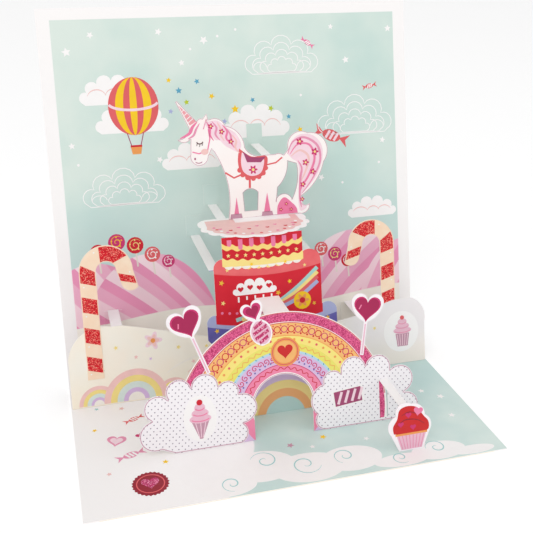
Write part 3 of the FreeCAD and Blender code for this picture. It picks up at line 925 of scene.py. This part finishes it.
def cake_stand(ink_on, u, v):
    """A pale cup cake on a soft round ground."""
    ink_on.fill(oval(u - 0.5, v + 1, 8.5, 9.5, 30), "white", 1)
    cup = [(u - 3.4, v), (u + 3.4, v), (u + 2.5, v - 6), (u - 2.5, v - 6)]
    ink_on.fill(cup, "mauve", 2)
    for k in range(-2, 3):
        ink_on.line([(u + k * 1.3, v - 0.4), (u + k * 0.95, v - 5.7)], 0.28, "pale_rose", 3)
    for k, reach in enumerate((4.4, 3.4, 2.2)):
        ink_on.fill(oval(u, v + 1.4 + k * 2.0, reach, 1.6, 22), "cup_pink", 4 - k)
        ink_on.line(arc(u, v + 1.6 + k * 2.0, reach * 0.9, 1.2, 200, 340, 12), 0.4, "rose", 5)
    ink_on.dot(u, v + 7.4, 1.0, "coral", 5)


HILL_SPOTS = (
    # u, v, radius, colour
    (-60, 24, 1.1, "butter"), (-52, 19, 1.0, "blush"), (-34, 21, 1.1, "butter"),
    (-66, 15, 0.9, "aqua"), (-46, 17.5, 0.8, "pale_lilac"), (-28, 14, 1.0, "blush"),
    (-22, 20, 0.9, "butter"), (36, 15, 1.0, "blush"), (46, 10, 0.9, "aqua"),
    (55, 18, 1.0, "butter"), (30, 20, 0.9, "pale_lilac"),
)


# A candy cane's middle line: where it stands, its foot, and the side it bends to
LEFT_CANE = (-68.9, 11.8, 1)
RIGHT_CANE = (62.2, 16.0, -1)
BEND_HEIGHT, BEND_RADIUS, HOOK_DROP, HOOK_SPREAD = 56.6, 7.5, 7.5, 1.8


def cane_place(cane, along, out):
    """A point along a cane; out is measured from its middle line."""
    x, foot, side = cane
    straight = BEND_HEIGHT - foot
    bend = math.pi * BEND_RADIUS
    if along < straight:
        return (x + side * out, foot + along)
    if along < straight + bend:
        a = (along - straight) / BEND_RADIUS
        reach = BEND_RADIUS - out
        return (x + side * (BEND_RADIUS - reach * math.cos(a)), BEND_HEIGHT + reach * math.sin(a))
    down = min(1.0, (along - straight - bend) / HOOK_DROP)
    across = 2 * BEND_RADIUS - out + HOOK_SPREAD * down
    return (x + side * across, BEND_HEIGHT - HOOK_DROP * down)


def cane_print(name, face, cane, bands):
    """Slanting bands of red glitter round a cane."""
    ink_on = Print(name, face)
    edge, slant, steps = 3.0, 0.9, 8
    for start, end in bands:
        near, far = [], []
        for k in range(steps + 1):
            along = start + (end - start) * k / steps
            near.append(cane_place(cane, along + slant, -edge))
            far.append(cane_place(cane, along - slant, edge))
        ink_on.fill(near + far[::-1], "red_glitter", 2)
        shine = [cane_place(cane, start - 1.6 + k * 0.1 + slant * 0.4, -edge * 0.6) for k in range(6)]
        ink_on.line(shine, 0.5, "white", 1)
    return ink_on.done()


def cake_print():
    """Stars, hearts, cream and drips on the two tiers and the board."""
    ink_on = Print("cake_print", ON_CAKE)
    cream = puff(-5.2, 51.4, 17, 5.2, 6)
    ink_on.fill(cream, "white", 2)
    for k in range(4):
        ink_on.fill(heart(-11 + k * 3.9, 53.2 + 0.5 * (k % 2), 2.4), "red", 4)
    for k in range(5):
        ink_on.line([(-12 + k * 3.4, 50.4), (-12 + k * 3.4, 48.2 + 0.7 * (k % 2))], 0.7, "white", 2)
    for k, name in enumerate(("aqua", "butter", "coral", "lilac")):
        sweep = smooth([(-13.5 + k * 2.4, 41.0), (0, 44.6 - k * 0.6), (11.5, 51.2 - k * 1.5), (21.3, 59.2 - k * 1.9)])
        ink_on.line(sweep, 1.6, name, 2 + k * 0.3)
    ink_on.dot(14.4, 46.2, 3.7, "yellow", 5)
    ink_on.fill(flower(14.4, 46.2, 2.9, 6, 48), "orange", 6)
    ink_on.dot(14.4, 46.2, 1.2, "red", 7)
    for u, v, radius, name in CAKE_STARS:
        ink_on.fill(star(u, v, radius, turn=90 + u * 9), name, 4)
    for k in range(7):
        ink_on.dot(-19 + k * 3.0, 44.6 - 0.9 * math.sin(math.pi * k / 6), 0.55, "pink", 3)
    upper_tier_print(ink_on)
    return ink_on.done()


CAKE_STARS = (
    # u, v, radius, colour
    (-18.6, 56.8, 1.2, "gold"), (-18.4, 48.6, 1.0, "butter"), (-9, 45.8, 1.1, "gold"),
    (-1.5, 46.8, 0.9, "butter"), (4.4, 50.4, 1.2, "gold"), (9.4, 54.6, 1.0, "yellow"),
    (6.4, 44.0, 0.9, "pink"), (19.4, 44.4, 0.9, "gold"), (-6, 63.2, 0.8, "yellow"),
    (8, 62.8, 0.8, "yellow"), (16, 60.6, 0.8, "butter"), (-16, 61.6, 0.8, "butter"),
    (-21.5, 37.6, 1.1, "gold"), (-15, 36.2, 0.9, "pink"), (-8, 35.4, 1.1, "gold"),
    (25, 37.8, 1.0, "gold"), (19.5, 35.6, 0.9, "pink"), (11, 34.8, 1.0, "gold"),
)


def upper_tier_print(ink_on):
    """Bands and drips on the small tier."""
    for k in range(9):
        u = -15.2 + k * 3.5
        ink_on.fill(arc(u, 63.0 - 0.5 * math.sin(math.pi * k / 8), 1.7, 1.2, 180, 360, 10), "cream", 2)
        ink_on.fill(star(u, 67.4 - 0.5 * math.sin(math.pi * k / 8), 0.9), "butter", 3)
    for k in range(7):
        u, drop = -14.6 + k * 4.5, 1.5 + 0.8 * ((k * 5) % 3)
        drip = [(u - 0.9, 73.6), (u - 0.9, 73.4 - drop)]
        drip += arc(u, 73.4 - drop, 0.9, 0.9, 180, 360, 8) + [(u + 0.9, 73.6)]
        ink_on.fill(drip, "pink", 3)


# The plate's rim: middle, half width, where its round front starts and how deep it is
PLATE = (-1.0, 21.6, 12.43, 13.56)


def plate_print():
    """Pink icing inside a white scalloped edge."""
    ink_on = Print("plate_print", ON_PLATE)
    middle, half, side, deep = PLATE
    icing = []
    for k in range(9):
        for step in range(8):
            a = math.pi * (k + step / 8) / 9
            swell = 0.90 + 0.05 * math.sin(math.pi * step / 8)
            icing.append((middle + half * swell * math.cos(a), side + deep * swell * math.sin(a)))
    icing += [(middle - half * 0.9, side - 7), (middle + half * 0.9, side - 7)]
    ink_on.fill(icing, "blush", 1)
    for k in range(15):
        a = math.pi * (k + 0.5) / 15
        u, v = middle + half * 0.8 * math.cos(a), side + deep * 0.8 * math.sin(a)
        ink_on.dot(u, v, 0.7, ("white", "coral", "pink")[k % 3], 2)
    for k in range(9):
        u, v = middle - 15 + k * 3.8, side + 3.2 + 2.4 * (k % 2)
        ink_on.fill(heart(u, v, 1.7, 180), ("pink", "red")[k % 2], 2)
    return ink_on.done()


FIGURE = 62.2 / 61.6


def on_figure(shape):
    """Places on the unicorn, measured from its left edge and its feet."""
    return [(-29.6 + u * FIGURE, PLATE_HEIGHT + v * FIGURE) for u, v in shape]


def unicorn_print():
    ink_on = Print("unicorn_print", ON_UNICORN)
    rim_line(ink_on, "unicorn", UNICORN, 0.16, 0.2, "mauve", 3)
    horn = [(1.6, 47.3), (5.6, 39.2), (8.2, 40.6)]
    ink_on.fill(on_figure(horn), "horn", 2)
    for share in (0.3, 0.5, 0.7, 0.86):
        twist = [(1.6 + 4.0 * share + 0.1, 47.3 - 8.1 * share), (1.6 + 6.4 * share, 47.3 - 6.3 * share)]
        ink_on.line(on_figure(twist), 0.3, "white", 3)
    mane_print(ink_on)
    face_print(ink_on)
    saddle_print(ink_on)
    tail_print(ink_on)
    for low, high, top in ((20.0, 25.4, 9.0), (32.6, 38.8, 10.0)):
        ink_on.fill(on_figure([(low + 1.7, 2.0), (high - 1.7, 2.0), ((low + high) / 2 + 0.3, top)]), "pink", 2)
    mound = smooth([(39.9, 0.5), (40.4, 4.4), (43.2, 7.4), (46.6, 4.8), (48.4, 2.6), (48.8, 0.5)], 5)
    ink_on.fill(on_figure(mound), "pink", 2)
    for u, v in ((41.6, 2.4), (44.0, 4.6), (46.0, 2.2)):
        blossom(ink_on, u, v, 0.9)
    for u, v, width in ((19.9, 0.3, 5.2), (33.2, 0.3, 5.0)):
        hoof = [(u, v), (u + width, v), (u + width - 0.4, v + 1.9), (u + 0.4, v + 1.9)]
        ink_on.fill(on_figure(hoof), "mauve", 2)
    return ink_on.done()


def mane_print(ink_on):
    """Wavy strands that run down the neck."""
    crest = smooth([(11.6, 39.6), (13.4, 40.4), (17.0, 40.4), (20.2, 37.8), (24.4, 34.6), (26.2, 30.2),
                    (24.6, 27.6), (21.6, 29.0), (19.4, 30.4), (17.4, 32.6), (15.4, 33.0), (13.8, 35.8),
                    (11.6, 39.6)], 5)
    ink_on.fill(on_figure(crest[:-1]), "pale_rose", 1)
    roots = ((12.4, 40.2), (14.6, 40.3), (16.8, 39.8), (18.9, 38.6), (20.8, 36.8), (22.4, 34.6))
    for k, (u, v) in enumerate(roots):
        sway = 1.2 if k % 2 else -0.6
        strand = [(u, v), (u + 1.4 + sway * 0.3, v - 2.6), (u + 1.2, v - 5.2), (u + 2.6 + sway * 0.2, v - 7.6)]
        ink_on.line(on_figure(smooth(strand)), 0.9, ("pink", "rose", "blush")[k % 3], 2 + k * 0.2, taper=True)
    lock = [(8.6, 40.4), (6.6, 38.4), (5.2, 36.0), (1.4, 34.2)]
    ink_on.line(on_figure(smooth(lock)), 1.3, "pink", 2, taper=True)
    lock = [(9.6, 39.8), (8.0, 37.4), (6.9, 35.2), (4.6, 33.9)]
    ink_on.line(on_figure(smooth(lock)), 0.9, "rose", 3, taper=True)
    for u, v in ((14.0, 38.4), (18.4, 36.0), (22.0, 31.8)):
        blossom(ink_on, u, v, 1.25)


def smooth(points, steps=6):
    """A curve through a few points."""
    ends = [points[0]] + points + [points[-1]]
    curve = []
    for k in range(1, len(ends) - 2):
        a, b, c, d = ends[k - 1:k + 3]
        for step in range(steps):
            t = step / steps
            curve.append(tuple(0.5 * (2 * b[i] + (c[i] - a[i]) * t
                                      + (2 * a[i] - 5 * b[i] + 4 * c[i] - d[i]) * t * t
                                      + (3 * b[i] - a[i] - 3 * c[i] + d[i]) * t ** 3) for i in (0, 1)))
    return curve + [points[-1]]


def blossom(ink_on, u, v, radius):
    ink_on.fill(on_figure(flower(u, v, radius)), "magenta", 6)
    ink_on.fill(on_figure(oval(u, v, radius * 0.3)), "butter", 7)


def face_print(ink_on):
    """A closed eye, a rosy cheek, a nostril and a plain bridle."""
    ink_on.line(on_figure(arc(9.2, 32.6, 1.25, 0.95, 190, 350, 10)), 0.42, "brown", 4)
    for u, v in ((8.1, 31.3), (9.2, 30.9), (10.3, 31.3)):
        ink_on.line(on_figure([(u, v + 0.5), (u - 0.2, v - 0.4)]), 0.22, "brown", 4)
    ink_on.fill(on_figure(oval(11.0, 28.4, 1.5, 1.2, 20)), "blush", 3)
    ink_on.fill(on_figure(oval(6.9, 25.8, 0.35, 0.5, 12)), "plum", 3)
    ink_on.line(on_figure(arc(8.4, 24.9, 1.5, 0.9, 205, 330, 10)), 0.28, "plum", 3)
    ink_on.line(on_figure([(6.0, 28.6), (8.6, 27.8), (12.2, 28.8)]), 0.5, "pink", 2)
    ink_on.line(on_figure([(12.2, 28.8), (13.4, 33.4), (13.0, 37.4)]), 0.5, "pink", 2)
    ink_on.line(on_figure([(18.9, 19.4), (22.4, 17.0), (26.4, 18.4)]), 0.7, "coral", 2)
    ink_on.line(on_figure([(11.0, 37.4), (12.4, 41.4), (13.0, 38.6)]), 0.4, "rose", 3)


def saddle_print(ink_on):
    """A coral saddle cloth with scallops, a flower and a girth."""
    cloth = smooth([(25.2, 28.8), (30.2, 25.2), (36.6, 24.9), (36.0, 19.4), (33.6, 16.6),
                    (29.0, 16.2), (25.4, 18.8), (24.4, 23.6), (25.2, 28.8)], 5)
    ink_on.fill(on_figure(cloth[:-1]), "coral", 2)
    ink_on.fill(on_figure(grown(cloth[:-1], 0.78)), "pale_rose", 3)
    for k in range(7):
        a = math.radians(196 + k * 25)
        ink_on.fill(on_figure(oval(30.4 + 5.7 * math.cos(a), 21.4 + 5.2 * math.sin(a), 1.0)), "coral", 3.5)
    seat = [(26.6, 27.6), (29.6, 25.0), (33.4, 24.6), (36.2, 24.8), (34.0, 22.6), (28.2, 23.0)]
    ink_on.fill(on_figure(seat), "plum", 5)
    ink_on.fill(on_figure(flower(30.6, 19.8, 1.9, 6, 48)), "magenta", 5)
    ink_on.fill(on_figure(oval(30.6, 19.8, 0.6)), "butter", 6)
    ink_on.line(on_figure([(29.0, 16.6), (28.8, 12.4)]), 0.9, "coral", 2)
    ink_on.line(on_figure([(36.4, 21.4), (40.4, 22.0), (43.2, 24.0)]), 0.6, "coral", 2)


def tail_print(ink_on):
    """Long pink waves in the tail, with blossoms."""
    whole = smooth([(45.8, 25.0), (47.6, 30.4), (51.4, 32.9), (56.6, 32.3), (60.2, 28.6), (60.8, 23.2),
                    (58.4, 16.4), (54.2, 11.2), (51.0, 8.0), (51.0, 4.4), (53.0, 2.6), (50.2, 1.2),
                    (49.4, 5.0), (49.9, 12.6), (50.0, 20.6), (47.4, 23.2), (45.8, 25.0)], 5)
    ink_on.fill(on_figure(whole[:-1]), "pale_rose", 1)
    strands = (
        [(45.6, 25.2), (48.0, 30.0), (53.0, 31.6), (58.6, 28.0), (59.6, 21.6), (56.0, 14.4), (51.2, 8.6)],
        [(46.6, 25.0), (50.0, 28.8), (55.2, 28.4), (57.2, 22.6), (54.2, 15.6), (50.6, 10.4), (50.0, 5.6)],
        [(47.0, 24.2), (51.0, 26.4), (54.6, 23.4), (53.0, 17.6), (50.4, 12.8)],
        [(49.9, 22.2), (51.4, 19.0), (50.6, 14.6), (50.0, 7.0), (50.6, 2.6)],
    )
    for k, strand in enumerate(strands):
        ink_on.line(on_figure(smooth(strand)), 1.0, ("rose", "pink", "blush", "rose")[k], 2 + k * 0.4, taper=True)
    for u, v, radius in ((51.0, 30.0, 1.6), (57.4, 25.4, 1.7), (53.2, 21.2, 1.5), (56.2, 17.2, 1.4),
                         (51.6, 12.2, 1.3), (51.0, 6.0, 1.1)):
        blossom(ink_on, u, v, radius)


def on_rainbow(angle, share):
    """A place on the arch: degrees from its right foot, share from inner to outer edge."""
    a = math.radians(angle)
    inner = (INNER[1] * math.cos(a), INNER[0] + INNER[1] * math.sin(a))
    outer = (OUTER[1] * math.cos(a), OUTER[0] + OUTER[1] * math.sin(a))
    return tuple(i + (o - i) * share for i, o in zip(inner, outer))


def rainbow_print():
    """Rows of rings, dots, ticks and waves along the bands."""
    ink_on = Print("rainbow_print", ON_RAINBOW)
    for k in range(34):
        angle = 12 + k * 4.7
        ink_on.ring(*on_rainbow(angle, 0.725), 1.25, 0.34, "red" if k % 2 else "magenta", 1)
        ink_on.dot(*on_rainbow(angle + 2.3, 0.665), 0.4, "red", 1)
        ink_on.dot(*on_rainbow(angle + 2.3, 0.79), 0.36, "coral", 1)
    for k in range(22):
        angle = 14 + k * 7.2
        ink_on.line(curl(*on_rainbow(angle, 0.27), 1.35, 1.2, k * 50, 16), 0.36, "magenta", 1)
        ink_on.dot(*on_rainbow(angle + 3.4, 0.215), 0.36, "violet", 1)
        ink_on.line([on_rainbow(angle, 0.36), on_rainbow(angle + 1.4, 0.38)], 0.4, "blue", 1)
    zigzag = [on_rainbow(10 + k * 3.2, 0.445 + 0.022 * (-1) ** k) for k in range(51)]
    ink_on.line(zigzag, 0.3, "orange", 1)
    for k in range(26):
        ink_on.dot(*on_rainbow(11 + k * 6.2, 0.56), 0.5, ("coral", "orange")[k % 2], 1)
    wave = [on_rainbow(14 + k * 2.4, 0.10 + 0.022 * math.sin(k * 1.4)) for k in range(64)]
    ink_on.line(wave, 0.32, "red", 1)
    for share, name in ((0.985, "red"), (0.62, "orange"), (0.825, "red"), (0.165, "magenta"), (0.015, "mauve")):
        ink_on.line([on_rainbow(6 + k * 3.0, share) for k in range(57)], 0.26, name, 1.5)
    seal = (1.6, 34.0)
    ink_on.dot(*seal, 5.9, "orange", 3)
    ink_on.ring(*seal, 5.1, 0.35, "coral", 4)
    ink_on.dot(*seal, 4.5, "apricot", 4)
    ink_on.fill(heart(*seal, 6.2), "scarlet_foil", 6)
    return ink_on.done()


def cloud_prints():
    """A rim on each cloud, an ice cream on one and a striped sweet on the other."""
    left = Print("left_cloud_print", ON_CLOUD)
    rim_line(left, "left_cloud", RAINBOW + LAYER, 0.35, 0.3, "mauve")
    left.fill(oval(-33.2, 12.6, 6.4, 9.2, 34), "white", 2)
    cone = [(-36.6, 11.4), (-29.8, 11.4), (-32.6, 4.4), (-33.8, 4.4)]
    left.fill(cone, "mauve", 3)
    for k in range(-1, 2):
        left.line([(-33.2 + k * 2.0, 11.0), (-33.2 + k * 0.7, 4.9)], 0.3, "pale_rose", 4)
    for k, reach in enumerate((4.2, 3.3, 2.1)):
        left.fill(oval(-33.2, 12.4 + k * 2.2, reach, 1.8, 24), "cup_pink", 5 - k)
        left.line(arc(-33.2, 12.6 + k * 2.2, reach * 0.85, 1.2, 200, 340, 12), 0.42, "pink", 6)
    left.dot(-33.2, 18.9, 1.15, "red", 6)
    left.done()
    right = Print("right_cloud_print", ON_CLOUD)
    rim_line(right, "right_cloud", RAINBOW + LAYER, 0.35, 0.3, "mauve")
    frame_shape = [(20.4, 8.2), (33.6, 9.6), (32.8, 16.6), (19.6, 15.2)]
    right.fill(frame_shape, "white", 2)
    right.fill(grown(frame_shape, 0.86), "plum", 3)
    for k in range(4):
        u = 22.4 + k * 2.9
        right.line([(u, 9.7 + k * 0.3), (u + 1.6, 14.6 + k * 0.3)], 1.1, "pale_rose", 4)
    right.done()


def heart_print(name, foot_u, foot_v, length, tilt):
    """A dark foil heart with a paler edge, on its white die-cut shape."""
    ink_on = Print(name, ON_CLOUD)
    u, v = turned([(0, length + 5.7)], foot_u, foot_v, tilt)[0]
    ink_on.fill(heart(u, v, 11.4, tilt), "magenta", 1)
    ink_on.fill(heart(u, v, 10.2, tilt), "heart_foil", 2)
    # The short pink stroke on the upper left lobe is a painted highlight on the foil.
    ink_on.line(turned([(-2.6, length + 7.6), (-3.4, length + 5.8)], foot_u, foot_v, tilt), 0.5, "pink", 3)
    stick = turned([(0, 0.6), (0, length)], foot_u, foot_v, tilt)
    ink_on.line(stick, 0.6, "cup_pink", 1)
    ink_on.done()


def candy_print():
    """Pink stripes on the wrapped sweet, and a heart for its twist."""
    ink_on = Print("candy_print", ON_CLOUD)
    place = (-7.6, 43.0, 19.0)
    body = smooth([(-0.8, -4.6), (-3.1, -2.6), (-3.8, 0), (-3.1, 2.6), (-0.8, 4.6),
                   (0.8, 4.6), (3.1, 2.6), (3.8, 0), (3.1, -2.6), (0.8, -4.6), (-0.8, -4.6)], 4)
    ink_on.fill(turned(body[:-1], *place), "cup_pink", 1)
    for k, reach in enumerate((2.0, 3.0, 3.1, 2.0)):
        v = -3.2 + k * 2.1
        stripe = [(-reach, v - 1.1), (reach, v + 0.1), (reach, v + 1.5), (-reach, v + 0.3)]
        ink_on.fill(turned(stripe, *place), "magenta_glitter", 2)
    ink_on.fill(turned(heart(0, 8.7, 7.2), *place), "magenta", 1)
    ink_on.fill(turned(heart(0, 8.7, 5.2), *place), "heart_foil", 2)
    ink_on.done()


def cupcake_print():
    """A red dome of icing, its rim, and a pleated cup."""
    ink_on = Print("cupcake_print", ON_CUPCAKE)
    left = 35.4
    dome = smooth([(1.4, 7.4), (1.2, 10.2), (2.9, 13.0), (4.0, 16.6), (7.2, 17.8), (11.2, 16.8),
                   (13.8, 13.2), (15.8, 10.6), (15.6, 7.4), (11.6, 6.6), (5.6, 6.6), (1.4, 7.4)], 5)
    ink_on.fill([(left + u, v) for u, v in dome[:-1]], "scarlet_foil", 1)
    ink_on.line([(left + u, v) for u, v in smooth([(2.6, 10.2), (6.0, 12.4), (10.8, 12.0), (14.4, 9.8)])],
                0.4, "dark_red", 2, taper=True)
    ink_on.line([(left + u, v) for u, v in smooth([(4.6, 14.2), (8.0, 15.4), (11.6, 14.0)])],
                0.4, "dark_red", 2, taper=True)
    # Painted highlight: the red glitter heart on the red dome is coloured pink where it catches the light.
    ink_on.fill(heart(left + 11.6, 15.0, 3.8, -12), "pink", 3)
    for u, v in ((4.4, 10.6), (9.4, 9.0), (7.6, 14.0)):
        ink_on.fill(heart(left + u, v, 2.4), "magenta", 3)
    cup = [(left + 2.5, 6.6), (left + 14.8, 6.6), (left + 12.9, 0.6), (left + 4.4, 0.6)]
    ink_on.fill(cup, "cup_pink", 1)
    ink_on.line([(left + 2.1, 6.7), (left + 15.2, 6.7)], 0.8, "orange", 3)
    for k in range(8):
        ink_on.line([(left + 3.4 + k * 1.5, 6.2), (left + 5.0 + k * 1.05, 0.8)], 0.34, "rose", 2)
    ink_on.done()


page_print()
base_print()
hill_print()
cane_print("left_cane_print", ON_CANE, LEFT_CANE, ((3.4, 9.4), (15.2, 21.6), (28.0, 34.4), (40.2, 46.4), (54.0, 63.0), (70.4, 73.6)))
cane_print("right_cane_print", BEHIND_CANE, RIGHT_CANE, ((12.6, 18.6), (24.4, 30.6), (36.8, 43.2), (50.0, 58.6), (65.6, 69.4)))
cake_print()
plate_print()
unicorn_print()
rainbow_print()
cloud_prints()
heart_print("left_heart_print", -28.8, 29.6, 15.4, 20.0)
heart_print("right_heart_print", 33.0, 28.6, 12.8, -9.0)
candy_print()
cupcake_print()


# The camera, the lights and the floor

FRAME_WIDTH = 533.0
FOCAL_PIXELS = 817.1
MIDDLE_PIXEL = (263.6, 228.67)
CAMERA_FROM_FOLD = Vector((-81.33, -315.04, 189.72))
CAMERA_TURN = (69.2587, -0.2257, -15.4634)


def add_camera():
    data = bpy.data.cameras.new("camera")
    data.sensor_width = 36.0
    data.lens = FOCAL_PIXELS / FRAME_WIDTH * data.sensor_width
    data.shift_x = (FRAME_WIDTH / 2 - MIDDLE_PIXEL[0]) / FRAME_WIDTH
    data.shift_y = (MIDDLE_PIXEL[1] - FRAME_WIDTH / 2) / FRAME_WIDTH
    data.clip_start = 0.01
    camera = bpy.data.objects.new("camera", data)
    camera.location = (CAMERA_FROM_FOLD + Vector((0, FOLD_Y, STOCK))) * MM
    camera.rotation_euler = [math.radians(a) for a in CAMERA_TURN]
    bpy.context.scene.collection.objects.link(camera)
    bpy.context.scene.camera = camera


def add_lamp(name, place, size, power):
    data = bpy.data.lights.new(name, "AREA")
    data.size = size
    data.energy = power
    lamp = bpy.data.objects.new(name, data)
    lamp.location = place
    lamp.rotation_euler = (-Vector(place)).to_track_quat("-Z", "Y").to_euler()
    bpy.context.scene.collection.objects.link(lamp)


def add_world():
    """Even pale light; the backdrop that the camera sees is white."""
    world = bpy.data.worlds.new("studio")
    world.use_nodes = True
    bpy.context.scene.world = world
    tree = world.node_tree
    light = tree.nodes["Background"]
    light.inputs["Color"].default_value = (1, 1, 1, 1)
    light.inputs["Strength"].default_value = 0.80
    seen = tree.nodes.new("ShaderNodeBackground")
    seen.inputs["Color"].default_value = (1, 1, 1, 1)
    path = tree.nodes.new("ShaderNodeLightPath")
    mix = tree.nodes.new("ShaderNodeMixShader")
    tree.links.new(path.outputs["Is Camera Ray"], mix.inputs[0])
    tree.links.new(light.outputs[0], mix.inputs[1])
    tree.links.new(seen.outputs[0], mix.inputs[2])
    tree.links.new(mix.outputs[0], tree.nodes["World Output"].inputs[0])


def add_floor():
    """A wide pale floor that keeps the card's shadow."""
    reach = 3.0
    data = bpy.data.meshes.new("floor")
    corners = [(-reach, -reach, 0), (reach, -reach, 0), (reach, reach, 0), (-reach, reach, 0)]
    data.from_pydata(corners, [], [(0, 1, 2, 3)])
    material = bpy.data.materials.new("floor")
    material.use_nodes = True
    shader = material.node_tree.nodes["Principled BSDF"]
    shader.inputs["Base Color"].default_value = (0.96, 0.96, 0.96, 1)
    shader.inputs["Roughness"].default_value = 0.8
    shader.inputs["Emission Color"].default_value = (1, 1, 1, 1)
    shader.inputs["Emission Strength"].default_value = 0.16
    data.materials.append(material)
    floor = bpy.data.objects.new("floor", data)
    bpy.context.scene.collection.objects.link(floor)


add_camera()
add_world()
add_floor()
add_lamp("key", (-0.55, -0.75, 0.95), 0.7, 2.5)
add_lamp("fill", (0.9, -0.5, 0.6), 0.9, 1.0)
bpy.context.scene.view_settings.view_transform = "Standard"
